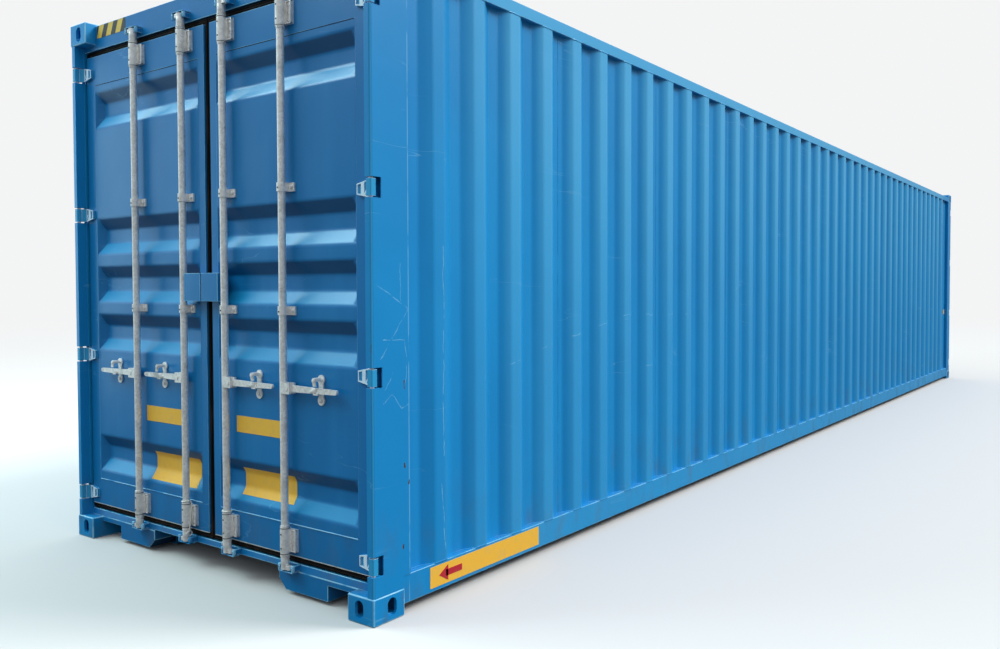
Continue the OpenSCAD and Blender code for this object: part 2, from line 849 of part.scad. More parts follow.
// Forged blade with its knuckle: cranked round the edge of the leaf, with two rimmed pockets
module hinge() {
    front = recess - blade_t;
    heel = leaf_edge + blade_heel;
    tip = leaf_edge + blade_l;
    band = [for (share = band_at) heel + share * (tip - heel)];
    half = knuckle_h / 2;
    inside = half - rim_w;
    drop = (half - blade_tip / 2) / (tip - heel);
    near = inside - drop * (band[0] - heel);
    beyond = inside - drop * (band[1] - heel);
    end = inside - drop * (tip - rim_w - heel);
    difference() {
        union() {
            linear_extrude(knuckle_h, center = true) rounded(knuckle_r, knuckle_ease);
            translate([-axis_u, -axis_v]) {
                linear_extrude(knuckle_h, center = true) polygon([
                    [axis_u + knuckle_ease, axis_v + knuckle_r - knuckle_ease],
                    [front, leaf_edge], [front, heel], [recess, heel], [recess, leaf_edge],
                    [recess - blade_t / 2, leaf_edge - blade_t / 2],
                    [axis_u + knuckle_r - knuckle_ease / 2, axis_v - knuckle_ease]]);
                upright([[leaf_edge, -half], [heel, -half], [tip, -blade_tip / 2],
                         [tip, blade_tip / 2], [heel, half], [leaf_edge, half]], front, blade_t);
            }
        }
        cylinder(r = pin_r + run_fit, h = knuckle_h + 2 * eps, center = true);
        translate([front - axis_u - eps, -axis_v, 0]) {
            upright([[band[1], beyond], [tip - rim_w, end], [tip - rim_w, -end],
                     [band[1], -beyond]], 0, rim_d + eps);
            upright([[heel, inside], [band[0], near], [band[0], rim_w - near], [heel, rim_w / 2]],
                    0, rim_d + eps);
            upright([[heel, -rim_w / 2], [band[0] - rim_w, -near], [heel, -inside]],
                    0, rim_d + eps);
        }
    }
}

module hinges() {
    color(end_blue) for (z = hinge_z) translate([axis_u, axis_v, z]) hinge();
}

// Housing round a bar, with a bolted flange on both sides
module bracket(h) {
    difference() {
        union() {
            cylinder(r = bearing_r, h = h, center = true);
            translate([0, -bearing_r, -h / 2]) cube([recess - rod_u, 2 * bearing_r, h]);
            translate([recess - rod_u - flange_t, -bearing_r - flange_w, -h / 2])
                cube([flange_t, 2 * (bearing_r + flange_w), h]);
        }
        cylinder(r = rod_r + rod_gap, h = h + 2 * eps, center = true);
    }
}

module catch_plate() {
    translate([recess - catch_t, 0, 0]) rotate([90, 0, 90]) linear_extrude(catch_t) {
        square([catch_neck, catch_h], center = true);
        for (s = [-1, 1]) translate([0, s * catch_h / 2]) circle(d = catch_w);
    }
}

module leaf_brackets() {
    color(zinc) for (y = rod_y) translate([0, half_w - y, 0]) {
        for (z = [bearing_low, bearing_top]) translate([rod_u, 0, z]) bracket(bearing_h);
        for (z = guide_z) translate([rod_u, 0, z]) bracket(guide_h);
        translate([0, -catch_r, handle_z]) catch_plate();
    }
}

// Shelf under the handle, and the stud that the flap swings on
module handle_rests() {
    color(zinc) for (y = rod_y) translate([0, half_w - y - catch_r, handle_z]) {
        translate([recess - catch_t - shelf_d, -catch_neck / 2, -handle_h / 2 - shelf_gap - shelf_t])
            cube([shelf_d, catch_neck, shelf_t]);
        translate([flap_u, 0, catch_h / 2]) rotate([0, 90, 0])
            cylinder(r = stud_r, h = recess - catch_t - flap_u);
    }
}

// Half of the padlock box, open below
module lock_box() {
    v1 = half_w - box_gap;
    v0 = half_w - lock_w;
    color(end_blue) translate([lock_u, v0, lock_z - lock_h / 2]) difference() {
        cube([recess - lock_u, v1 - v0, lock_h]);
        translate([lock_t, lock_t, -eps])
            cube([recess - lock_u - 2 * lock_t, v1 - v0, lock_h - lock_t + eps]);
    }
}

// Bar with its cams, thrust collars and handle hub, on the bar's own axis
module rod() {
    c = collar_gap + bearing_h / 2;
    color(zinc) translate([rod_u, 0, 0]) difference() {
        union() {
            translate([0, 0, cam_low]) cylinder(r = rod_r, h = cam_top - cam_low);
            for (z = [cam_low, cam_top - cam_h]) translate([0, 0, z]) {
                cylinder(r = cam_r, h = cam_h);
                translate([-cam_t / 2, -cam_reach + cam_t / 2, 0])
                    cube([cam_t, cam_reach - cam_t / 2, cam_h]);
                translate([0, -cam_reach + cam_t / 2, 0]) cylinder(r = cam_t / 2, h = cam_h);
            }
            for (z = [bearing_low, bearing_top]) for (s = [-1, 1])
                translate([0, 0, z + s * (c + collar_h / 2) - collar_h / 2])
                    cylinder(r = rod_r + collar_t, h = collar_h);
            translate([hub_u - rod_u, -pivot_r - hub_end, handle_z - hub_h / 2])
                cube([hub_d, pivot_r + hub_end, hub_h]);
        }
        translate([handle_u - rod_u - handle_t / 2 - fork_gap, -pivot_r - hub_h,
                   handle_z - hub_h])
            cube([handle_t + 2 * fork_gap, hub_h + pivot_r - cam_r, 2 * hub_h]);
        translate([hub_u - rod_u - eps, -pivot_r, handle_z]) rotate([0, 90, 0])
            cylinder(r = bolt_r + run_fit, h = hub_d + 2 * eps);
    }
}

// Handle with its pivot bolt: high at the hub, level over its shelf, rounded at its tip
module handle() {
    rest = catch_r - pivot_r;
    color(zinc) translate([0, -pivot_r, handle_z]) {
        translate([handle_u - handle_t / 2, 0, 0]) rotate([90, 0, 90]) linear_extrude(handle_t) {
            circle(r = handle_root / 2);
            polygon([[0, -handle_root / 2], [0, handle_root / 2],
                     [catch_neck - rest, handle_h / 2], [handle_tip - handle_l, handle_tip],
                     [handle_tip - handle_l, -handle_tip], [-catch_neck - rest, -handle_h / 2],
                     [catch_neck - rest, -handle_h / 2]]);
            translate([handle_tip - handle_l, 0]) circle(r = handle_tip);
        }
        translate([hub_u - collar_gap - head_t, 0, 0]) rotate([0, 90, 0]) {
            cylinder(r = bolt_r, h = hub_d + head_t + 2 * collar_gap);
            cylinder(r = head_r, h = head_t);
        }
    }
}

module flap() {
    color(zinc) translate([flap_u, -catch_r, handle_z + catch_h / 2]) rotate([90, 0, 90])
        linear_extrude(flap_t) difference() {
            union() {
                circle(r = flap_eye);
                polygon([[-flap_w / 2, 0], [-flap_skew - flap_w / 2, -flap_l],
                         [flap_w / 2 - flap_skew, -flap_l], [flap_w / 2, 0]]);
            }
            circle(r = stud_r + rod_gap);
        }
}

function unit(v) = v / norm(v);

// Side direction of a tube at one of its points, carried along from its start
function carried(dirs, i) = i == 0 ? unit(cross(dirs[0], [0, 0, 1])) :
    let (before = carried(dirs, i - 1)) unit(before - (before * dirs[i]) * dirs[i]);

// Round tube along points, with a ring of corners at each of them
module tube(points, d, sides = 8) {
    n = len(points);
    dirs = [for (i = [0:n - 1])
        unit(points[min(i + 1, n - 1)] - points[max(i - 1, 0)])];
    corners = [for (i = [0:n - 1]) let (a = carried(dirs, i), b = cross(dirs[i], a))
        for (k = [0:sides - 1]) let (t = 360 * k / sides)
            points[i] + d / 2 * (cos(t) * a + sin(t) * b)];
    skin = [for (i = [0:n - 2], k = [0:sides - 1])
        let (p = i * sides + k, q = i * sides + (k + 1) % sides)
            each [[q, p, p + sides], [q, p + sides, q + sides]]];
    ends = [[for (k = [0:sides - 1]) k], [for (k = [sides - 1:-1:0]) (n - 1) * sides + k]];
    polyhedron(points = corners, faces = concat(skin, ends));
}

// Rope tied round the inner bar above its bearing, and the ring that hangs on it
module door_rope() {
    color("#d8d2c0") translate([rod_u, 0, 0]) tube(rope_path, rope_d);
}

module rope_ring() {
    end = rope_path[len(rope_path) - 1];
    color(zinc) translate([rod_u + end[0], end[1], end[2] - rod_gap - ring_r - ring_d / 2])
        rotate([90, 0, 0]) rotate_extrude() translate([ring_r, 0]) circle(d = ring_d);
}

module on_rod(left, y) {
    leaf(left) translate([0, half_w - y, 0]) children();
}

module far_side() {
    for (left = [false, true]) leaf(left, true) children();
}

corner_castings();
near_posts();
far_posts();
top_rails();
bottom_rails();
headers();
near_sill();
far_sill();
right_wall();
left_wall();
roof();
floor_deck();
crossmembers();
gooseneck_tunnel();
tunnel_rails();
ventilators();
hinge_pins();
keeper_lugs();
keeper_caps();
leaf() leaf_frame();  // right_leaf_frame
leaf() leaf_sheet();  // right_leaf_sheet
leaf() leaf_seal();  // right_leaf_seal
leaf() hinges();  // right_hinges
leaf() leaf_brackets();  // right_brackets
leaf() handle_rests();  // right_handle_rests
leaf() lock_box();  // right_lock_box
on_rod(false, rod_inner) door_rope();  // right_rope
on_rod(false, rod_inner) rope_ring();  // right_ring
leaf(true) leaf_frame();  // left_leaf_frame
leaf(true) leaf_sheet();  // left_leaf_sheet
leaf(true) leaf_seal();  // left_leaf_seal
leaf(true) hinges();  // left_hinges
leaf(true) leaf_brackets();  // left_brackets
leaf(true) handle_rests();  // left_handle_rests
leaf(true) lock_box();  // left_lock_box
on_rod(true, rod_inner) door_rope();  // left_rope
on_rod(true, rod_inner) rope_ring();  // left_ring
on_rod(false, rod_outer) rod();  // right_outer_rod
on_rod(false, rod_inner) rod();  // right_inner_rod
on_rod(true, rod_inner) rod();  // left_inner_rod
on_rod(true, rod_outer) rod();  // left_outer_rod
on_rod(false, rod_outer) handle();  // right_outer_handle
on_rod(false, rod_inner) handle();  // right_inner_handle
on_rod(true, rod_inner) handle();  // left_inner_handle
on_rod(true, rod_outer) handle();  // left_outer_handle
on_rod(false, rod_outer) flap();  // right_outer_flap
on_rod(false, rod_inner) flap();  // right_inner_flap
on_rod(true, rod_inner) flap();  // left_inner_flap
on_rod(true, rod_outer) flap();  // left_outer_flap
far_side() leaf_frame();  // far_leaf_frames
far_side() leaf_sheet();  // far_leaf_sheets
far_side() leaf_seal();  // far_leaf_seals
far_side() hinges();  // far_hinges
far_side() leaf_brackets();  // far_brackets
far_side() handle_rests();  // far_handle_rests
far_side() lock_box();  // far_lock_box
far_side()  // far_rods
    for (y = rod_y) translate([0, half_w - y, 0]) rod();
far_side()  // far_handles
    for (y = rod_y) translate([0, half_w - y, 0]) handle();
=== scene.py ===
import json
import math
import random

import bmesh
import bpy
from mathutils import Matrix, Vector


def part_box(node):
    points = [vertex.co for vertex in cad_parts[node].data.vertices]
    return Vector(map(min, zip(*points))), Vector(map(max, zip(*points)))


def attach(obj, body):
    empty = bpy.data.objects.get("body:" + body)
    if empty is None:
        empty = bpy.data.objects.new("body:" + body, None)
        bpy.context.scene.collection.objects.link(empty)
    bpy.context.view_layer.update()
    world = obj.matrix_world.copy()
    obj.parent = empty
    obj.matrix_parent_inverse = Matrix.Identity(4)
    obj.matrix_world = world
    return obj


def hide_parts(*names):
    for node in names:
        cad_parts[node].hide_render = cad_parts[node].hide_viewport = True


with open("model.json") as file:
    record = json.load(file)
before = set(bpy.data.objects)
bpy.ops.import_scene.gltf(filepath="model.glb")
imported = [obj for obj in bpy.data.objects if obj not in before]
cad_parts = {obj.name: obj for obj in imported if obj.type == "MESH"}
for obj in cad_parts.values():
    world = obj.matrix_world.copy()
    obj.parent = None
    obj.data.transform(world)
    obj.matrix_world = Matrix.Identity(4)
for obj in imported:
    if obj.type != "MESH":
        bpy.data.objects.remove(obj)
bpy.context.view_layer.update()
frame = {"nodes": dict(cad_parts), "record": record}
cadNodes = frame["nodes"]
random.seed(41)

# Half of the length and width, from the castings
halfLength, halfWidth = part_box("corner_castings")[1][:2]

# The two leaves and long walls, with the sign of their Y
hands = (("right", -1), ("left", 1))


# Camera, at the photograph's place
camera = {
    "place": (-8.529, -3.865, 1.406),
    "yaw": 34.132,
    "pitch": -1.628,
    "roll": -0.021,
    "lens": 30.68,
    "shift": (-0.0727, -0.0105),
}


def addCamera():
    yaw, pitch = math.radians(camera["yaw"]), math.radians(camera["pitch"])
    level = math.cos(pitch)
    forward = Vector((math.cos(yaw) * level, math.sin(yaw) * level, math.sin(pitch)))
    roll = Matrix.Rotation(math.radians(camera["roll"]), 3, "Z").to_quaternion()
    bpy.ops.object.camera_add(location=camera["place"])
    eye = bpy.context.object
    eye.name = "photoCamera"
    eye.rotation_mode = "QUATERNION"
    eye.rotation_quaternion = forward.to_track_quat("-Z", "Y") @ roll
    eye.data.sensor_width = 36
    eye.data.lens = camera["lens"]
    eye.data.shift_x, eye.data.shift_y = camera["shift"]
    eye.data.clip_end = 200
    bpy.context.scene.camera = eye


# Shader expressions: a Wire wraps a socket, and its operators add Math nodes
class Wire:
    def __init__(self, finish, socket):
        self.finish = finish
        self.socket = socket

    def maths(self, operation, *values):
        return self.finish.node("Math", {"operation": operation}, values)

    def __add__(self, other):
        return self.maths("ADD", self, other)

    def __sub__(self, other):
        return self.maths("SUBTRACT", self, other)

    def __mul__(self, other):
        return self.maths("MULTIPLY", self, other)

    def __abs__(self):
        return self.maths("ABSOLUTE", self)

    __radd__ = __add__

    def biggest(self, other):
        return self.maths("MAXIMUM", self, other)

    # Eased step: 0 at low and 1 at high, or the other way round when low is the larger
    def ease(self, low, high):
        return self.finish.node("MapRange", {"interpolation_type": "SMOOTHSTEP"}, [self, low, high, 0, 1])


class Finish:
    def __init__(self, name):
        self.material = bpy.data.materials.new(name)
        self.material.use_nodes = True
        self.tree = self.material.node_tree
        self.shader = self.tree.nodes["Principled BSDF"]
        self.place = self.node("TexCoord", {}, [], "Object")

    def node(self, kind, settings, values, output=0):
        made = self.tree.nodes.new("ShaderNode" + kind)
        for key, value in settings.items():
            setattr(made, key, value)
        pairs = values.items() if isinstance(values, dict) else enumerate(values)
        for key, value in pairs:
            if isinstance(value, Wire):
                self.tree.links.new(value.socket, made.inputs[key])
            else:
                made.inputs[key].default_value = value
        return Wire(self, made.outputs[output])

    def vectors(self, operation, values, output=0):
        return self.node("VectorMath", {"operation": operation}, values, output)

    def noise(self, scale, detail=3, stretch=(1, 1, 1), distortion=0):
        where = self.place
        if stretch != (1, 1, 1):
            where = self.vectors("MULTIPLY", [self.place, stretch])
        return self.node("TexNoise", {}, {"Vector": where, "Scale": scale, "Detail": detail,
                                          "Distortion": distortion})

    # One random tone for each cell
    def cells(self, scale, stretch=(1, 1, 1)):
        where = self.node("Mapping", {}, {"Vector": self.place, "Scale": stretch})
        colour = self.node("TexVoronoi", {}, {"Vector": where, "Scale": scale}, "Color")
        return self.node("SeparateColor", {}, [colour], 0)

    def axis(self, name):
        return self.node("SeparateXYZ", {}, [self.place], name)

    def blend(self, amount, first, second):
        pair = [value if isinstance(value, Wire) else (*value, 1) for value in (first, second)]
        return self.node("Mix", {"data_type": "RGBA"}, {0: amount, 6: pair[0], 7: pair[1]}, 2)

    # Places in the upright plane along the box, shaken by up to half of the reach
    def shaken(self, reach):
        jitter = self.node("TexNoise", {}, {"Vector": self.place, "Scale": 14, "Detail": 5}, "Color")
        moved = self.vectors("SUBTRACT", [jitter, (0.5, 0.5, 0.5)])
        moved = self.vectors("SCALE", {0: moved, 3: reach})
        both = self.vectors("ADD", [self.place, moved])
        return self.vectors("MULTIPLY", [both, (1, 0, 1)])

    # Closeness to a line of points in that plane: 1 on it, 0 beyond its width
    def stroke(self, flat, points, width, wobble=0.004):
        nearest = None
        for first, second in zip(points, points[1:]):
            start = Vector((first[0], 0, first[1]))
            run = Vector((second[0], 0, second[1])) - start
            offset = self.vectors("SUBTRACT", [flat, start])
            share = self.vectors("DOT_PRODUCT", [offset, run / run.length_squared], "Value")
            share = self.node("Math", {"operation": "ADD", "use_clamp": True}, [share, 0])
            foot = self.vectors("SCALE", {0: run, 3: share})
            gap = self.vectors("DISTANCE", [offset, foot], "Value")
            nearest = gap if nearest is None else nearest.maths("MINIMUM", nearest, gap)
        rough = self.noise(40, 3)
        return (nearest + (rough - 0.5) * wobble).ease(width, width * 0.35)

    def bump(self, heightMap, distance, strength=1):
        return self.node("Bump", {}, {"Strength": strength, "Distance": distance, "Height": heightMap})

    def put(self, **sockets):
        for name, value in sockets.items():
            socket = self.shader.inputs[name.replace("_", " ")]
            if isinstance(value, Wire):
                self.tree.links.new(value.socket, socket)
            else:
                socket.default_value = value
        return self.material


paints = {
    "side": {"colour": (0.007, 0.262, 0.600), "pale": (0.032, 0.365, 0.715), "deep": (0.004, 0.195, 0.490),
             # worn: paler blue painted on the outer flats as painted light
             "worn": (0.080, 0.430, 0.740)},
    # end: the side's blue painted darker, as painted shade for the door end standing out of the light
    "end": {"colour": (0.005, 0.176, 0.445), "pale": (0.020, 0.252, 0.555), "deep": (0.003, 0.128, 0.355),
            # under and upper: painted shade on slopes that look down, painted light on slopes that look up
            "under": (0.002, 0.045, 0.140), "upper": (0.010, 0.350, 0.660)},
    "forged": {"colour": (0.028, 0.340, 0.640), "pale": (0.070, 0.430, 0.740), "deep": (0.014, 0.260, 0.520)},
}
soil = (0.085, 0.075, 0.065)
rust = (0.085, 0.036, 0.016)
# Pale blue of chalked paint in scratches, also used as a painted highlight on edges
chalkAndHighlight = (0.27, 0.58, 0.80)

# Where the finishes of the long sides change: distances from the middle over which a share
# rises or falls, for the painted light on the outer flats and for the marks, and the place and
# half widths of the painted highlight along the rear edge of the near posts
zones = {
    "flats": (1.186, 1.213), "along": (5.86, 5.10), "wall": (1.150, 1.170), "face": (1.207, 1.212),
    "rearEdgeHighlight": -5.8855, "rearHighlightWidth": (0.0038, 0.0012),
}

# Scratches and rust on the right-hand side, as lines of x and z in metres with their width,
# read on the photo
marks = {
    "post": [
        ([(-6.063, 1.422), (-5.885, 1.326), (-6.047, 1.117)], 0.0028),
        ([(-6.029, 1.195), (-5.908, 1.189), (-5.900, 1.120)], 0.0022),
        ([(-5.935, 1.52), (-5.930, 1.36)], 0.0018),
        ([(-6.02, 0.985), (-5.98, 1.055)], 0.0018),
        ([(-6.03, 0.93), (-5.985, 0.96), (-5.93, 0.90), (-5.885, 0.915)], 0.0020),
        ([(-5.900, 1.08), (-5.905, 1.00)], 0.0022),
    ],
    "wall": [
        ([(-5.664, 1.60), (-5.659, 1.28)], 0.0022),
        ([(-5.662, 1.22), (-5.664, 0.652)], 0.0022),
        ([(-5.678, 0.521), (-5.653, 0.224)], 0.0024),
    ],
    "scrape": [
        ([(-5.365, 0.985), (-4.808, 1.118), (-4.564, 1.158), (-4.258, 1.21), (-4.017, 1.251),
          (-3.21, 1.239)], 0.0034),
        ([(-3.783, 0.923), (-3.512, 0.916)], 0.0034),
    ],
    "rust": [
        ([(-5.911, 1.012), (-5.911, 0.985)], 0.0055),
        ([(-5.913, 0.661), (-5.913, 0.645)], 0.0045),
        ([(-5.886, 0.580), (-5.886, 0.564)], 0.0040),
        ([(-5.922, 0.303), (-5.922, 0.289)], 0.0060),
        ([(-6.091, 1.178), (-6.091, 1.146)], 0.0040),
    ],
}


# Enamel with wash marks, road dirt near the ground, faint rub lines, and the photo's marks
def enamelPaint(name, tint, scratches=0.5, dirt=0.5, chips=0.0, seen=False):
    paint = Finish(name)
    colours = paints[tint]
    up = paint.axis("Z")
    cloud = paint.noise(0.8, 4)
    streaks = paint.noise(1.0, 5, (7, 7, 0.35))
    colour = paint.blend(cloud.ease(0.35, 0.7) * 0.40, colours["colour"], colours["deep"])
    colour = paint.blend(streaks.ease(0.5, 0.78) * 0.22, colour, colours["pale"])
    splash = up.ease(0.65, 0.0) * paint.noise(9, 5, (1, 1, 0.5)).ease(0.44, 0.78) * dirt
    colour = paint.blend(splash, colour, soil)
    drips = paint.noise(1.3, 3, (9, 9, 0.22)).ease(0.62, 0.80) * up.ease(2.9, 1.6) * dirt * 0.16
    colour = paint.blend(drips, colour, soil)
    rubs = abs(paint.noise(1.1, 4, (0.45, 1, 5.5)) - 0.5).ease(0.0045, 0.001)
    worn = rubs * paint.noise(1.9, 2).ease(0.55, 0.66) * scratches * 0.5
    if tint == "end":
        # Painted shade and painted light: slopes that look down are painted darker, and those that look up
        # paler, for the sky above and the ground below
        facing = paint.node("NewGeometry", {}, [], "Normal")
        slopeLightAndShade = paint.node("SeparateXYZ", {}, [facing], "Z")
        colour = paint.blend(slopeLightAndShade.ease(-0.25, -0.50) * 0.7, colour, colours["under"])
        colour = paint.blend(slopeLightAndShade.ease(0.25, 0.50) * 0.55, colour, colours["upper"])
    if tint == "side":
        # Painted light: the outer flats of the corrugations, between the posts, are painted paler, more so
        # towards the top, for the sky light on them
        ridge = abs(paint.axis("Y")).ease(*zones["flats"]) * abs(paint.axis("X")).ease(*zones["along"])
        colour = paint.blend(ridge * (0.18 + up.ease(0.6, 2.7) * 0.50 + cloud * 0.2), colour, colours["worn"])
    if seen:
        outward = (paint.axis("Y") * -1).ease(*zones["wall"])
        outermost = (paint.axis("Y") * -1).ease(*zones["face"])
        # Painted highlight: a paler line along the post's rear edge over its whole height
        line = abs(paint.axis("X") - zones["rearEdgeHighlight"]).ease(*zones["rearHighlightWidth"])
        worn = worn.biggest(line * outermost * 0.4 * paint.noise(7, 3).ease(0.34, 0.52))
        broken = paint.noise(26, 3).ease(0.36, 0.50)
        flat = paint.shaken(0.030)
        groups = {"post": (outermost, 0.45), "wall": (outward, 0.60), "scrape": (outermost, 0.45)}
        for group, (where, strength) in groups.items():
            for points, width in marks[group]:
                worn = worn.biggest(paint.stroke(flat, points, width) * where * broken * strength)
    colour = paint.blend(worn, colour, chalkAndHighlight)
    if seen:
        for points, width in marks["rust"]:
            colour = paint.blend(paint.stroke(flat, points, width, 0.008) * outermost, colour, rust)
    if chips:
        flakes = paint.noise(60, 4).ease(0.62, 0.70) * paint.noise(4, 2).ease(0.5, 0.65) * chips
        colour = paint.blend(flakes, colour, rust)
    bumps = paint.bump(paint.noise(2.6, 2) + paint.noise(220, 2) * 0.02, 0.010, 0.5)
    return paint.put(Base_Color=colour, Roughness=0.25 + cloud * 0.12 + splash * 0.4,
                     Specular_IOR_Level=0.36, Normal=bumps)


# Paint on a bent or cut edge: painted lighter as a painted highlight, with rubbed spots and rust
def edgeWearAndHighlight(name, tint, bareAndHighlight=chalkAndHighlight):
    paint = Finish(name)
    colours = paints[tint]
    colour = paint.blend(paint.noise(9, 4).ease(0.28, 0.52), colours["pale"], bareAndHighlight)
    colour = paint.blend(paint.noise(5, 3).ease(0.56, 0.74), colour, colours["pale"])
    colour = paint.blend(paint.noise(23, 5).ease(0.69, 0.74) * 0.8, colour, rust)
    return paint.put(Base_Color=colour, Roughness=0.45, Specular_IOR_Level=0.25)


# Hot-dip galvanised steel with its spangle
def zincFinish(name, dirt=0.3):
    steel = Finish(name)
    grain = steel.cells(95)
    patch = steel.noise(16, 5)
    colour = steel.blend(grain, (0.76, 0.735, 0.715), (0.93, 0.905, 0.885))
    colour = steel.blend(patch.ease(0.5, 0.72) * dirt, colour, (0.30, 0.29, 0.27))
    colour = steel.blend(steel.noise(30, 4).ease(0.68, 0.76) * dirt, colour, (0.20, 0.10, 0.05))
    return steel.put(Base_Color=colour, Metallic=0.35, Roughness=0.30 + grain * 0.10 + patch * 0.12,
                     Normal=steel.bump(steel.noise(120, 3), 0.0004, 0.3))


def sealRubber(name):
    rubber = Finish(name)
    dust = rubber.noise(18, 5, (1, 1, 0.3))
    colour = rubber.blend(dust.ease(0.45, 0.8) * 0.7, (0.008, 0.006, 0.006), (0.042, 0.024, 0.016))
    return rubber.put(Base_Color=colour, Roughness=0.7 + dust * 0.2, Specular_IOR_Level=0.10,
                      Normal=rubber.bump(dust, 0.002, 0.4))


def deckWood(name):
    wood = Finish(name)
    grain = wood.noise(5, 6, (1.2, 14, 14), distortion=0.6)
    tone = wood.cells(1.0, (0.42, 0.86, 0.01))
    colour = wood.blend(grain, (0.20, 0.105, 0.048), (0.36, 0.21, 0.10))
    colour = wood.blend(tone * 0.35, colour, (0.14, 0.085, 0.05))
    colour = wood.blend(wood.noise(3, 5).ease(0.55, 0.8) * 0.5, colour, (0.10, 0.085, 0.07))
    return wood.put(Base_Color=colour, Roughness=0.55 + grain * 0.2, Normal=wood.bump(grain, 0.002, 0.5))


# Painted shade: near-black steel for the sunk screws and the collar grooves, standing for the shade in their
# holes and gaps, with a faint mottle
def paintedShadeSteel(name):
    steel = Finish(name)
    film = steel.noise(60, 4)
    return steel.put(Base_Color=steel.blend(film, (0.014, 0.013, 0.013), (0.05, 0.042, 0.036)), Metallic=0.3,
                     Roughness=0.45 + film * 0.2)


def decalAndHighlightFilm(name, colour, fade):
    film = Finish(name)
    wear = film.noise(30, 5)
    tone = film.blend(wear.ease(0.45, 0.8) * 0.5, colour, fade)
    return film.put(Base_Color=tone, Roughness=0.45 + wear * 0.2)


# Diagonal black and yellow bars
def hazardFilm(name):
    film = Finish(name)
    slant = film.axis("Y") + film.axis("Z") * 0.45
    phase = film.node("Math", {"operation": "FRACT"}, [slant * 10.2 + 0.02])
    bars = phase.ease(0.50, 0.54)
    colour = film.blend(bars, (0.72, 0.47, 0.05), (0.018, 0.016, 0.015))
    colour = film.blend(film.noise(40, 5).ease(0.55, 0.75) * 0.5, colour, (0.10, 0.085, 0.06))
    return film.put(Base_Color=colour, Roughness=0.55)


def ropeFibre(name):
    fibre = Finish(name)
    strands = fibre.noise(420, 2)
    colour = fibre.blend(strands, (0.66, 0.64, 0.55), (0.95, 0.94, 0.88))
    return fibre.put(Base_Color=colour, Roughness=0.85, Normal=fibre.bump(strands, 0.001))


finishes = {
    "side": enamelPaint("sideEnamel", "side", 0.45, 0.45, seen=True),
    # The door enamel is painted darker than the side enamel, as painted shade
    "end": enamelPaint("shadedDoorEnamel", "end", 0.35, 0.40),
    "cast": enamelPaint("castingEnamel", "side", 0.5, 0.8, 0.8),
    "under": enamelPaint("underEnamel", "end", 0.1, 0.9, 0.6),
    "roof": enamelPaint("roofEnamel", "side", 0.5, 0.3, 0.6),
    # Edge finishes: paler paint on edges, partly rubbed wear and partly painted highlight
    "sideEdge": edgeWearAndHighlight("sideEdgePaint", "side"),
    "endEdge": edgeWearAndHighlight("doorEdgePaint", "end"),
    "postEdge": edgeWearAndHighlight("postEdgePaint", "side", (0.050, 0.360, 0.700)),
    "hinge": enamelPaint("hingeEnamel", "forged", 0.3, 0.3),
    # Painted highlight: the raised rims of the hinge blades painted near white, for the sky's glint on them
    "hingeRimHighlight": decalAndHighlightFilm("hingeRimHighlightPaint", (0.68, 0.83, 0.93), (0.34, 0.60, 0.80)),
    "worn": zincFinish("wornSteel", 0.65),
    "zinc": zincFinish("galvanisedSteel"),
    "paintedShade": paintedShadeSteel("paintedShadeSteel"),
    "rubber": sealRubber("sealRubber"),
    "wood": deckWood("deckPlywood"),
    "yellow": decalAndHighlightFilm("yellowFilm", (0.90, 0.49, 0.045), (0.72, 0.44, 0.12)),
    "red": decalAndHighlightFilm("redFilm", (0.50, 0.012, 0.03), (0.38, 0.06, 0.05)),
    "hazard": hazardFilm("hazardFilm"),
    "rope": ropeFibre("ropeFibre"),
}
print("finishes made:", len(finishes))


def pick(piece):
    bpy.ops.object.select_all(action="DESELECT")
    piece.select_set(True)
    bpy.context.view_layer.objects.active = piece


def modify(piece, kind, **settings):
    pick(piece)
    modifier = piece.modifiers.new(kind.title(), kind)
    for key, value in settings.items():
        setattr(modifier, key, value)
    bpy.ops.object.modifier_apply(modifier=modifier.name)


def smooth(piece, angle=35):
    pick(piece)
    bpy.ops.object.shade_smooth_by_angle(angle=math.radians(angle))


def settle(piece, name, body, slotName, *materials):
    pick(piece)
    bpy.ops.object.transform_apply(location=True, rotation=True, scale=True)
    piece.name = name
    piece.data.name = name
    piece.data.materials.clear()
    for material in materials:
        piece.data.materials.append(finishes[material])
    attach(piece, body)
    return piece


def block(low, high):
    middle = [(a + b) / 2 for a, b in zip(low, high)]
    bpy.ops.mesh.primitive_cube_add(size=1, location=middle)
    piece = bpy.context.object
    piece.scale = [b - a for a, b in zip(low, high)]
    bpy.ops.object.transform_apply(location=True, rotation=True, scale=True)
    return piece


def joined(pieces):
    bpy.ops.object.select_all(action="DESELECT")
    for piece in pieces:
        piece.select_set(True)
    bpy.context.view_layer.objects.active = pieces[0]
    bpy.ops.object.join()
    return bpy.context.object


def copyAt(piece, matrix):
    twin = piece.copy()
    twin.data = piece.data.copy()
    twin.data.transform(matrix)
    bpy.context.collection.objects.link(twin)
    return twin


def discard(piece):
    pick(piece)
    bpy.ops.object.delete()


bodyOf = {node: body for body, nodes in frame["record"]["behaviour"]["bodies"].items() for node in nodes}
slotOf = {part["node"]: part["material_slot"] for part in frame["record"]["subparts"]}


# Nodes with small curved holes: only outer edges longer than this are eased on them
longEdges = {"corner_castings": 0.07}

# Depth of the raised rims of the hinge blades behind the end plane
rimDepth = 0.042
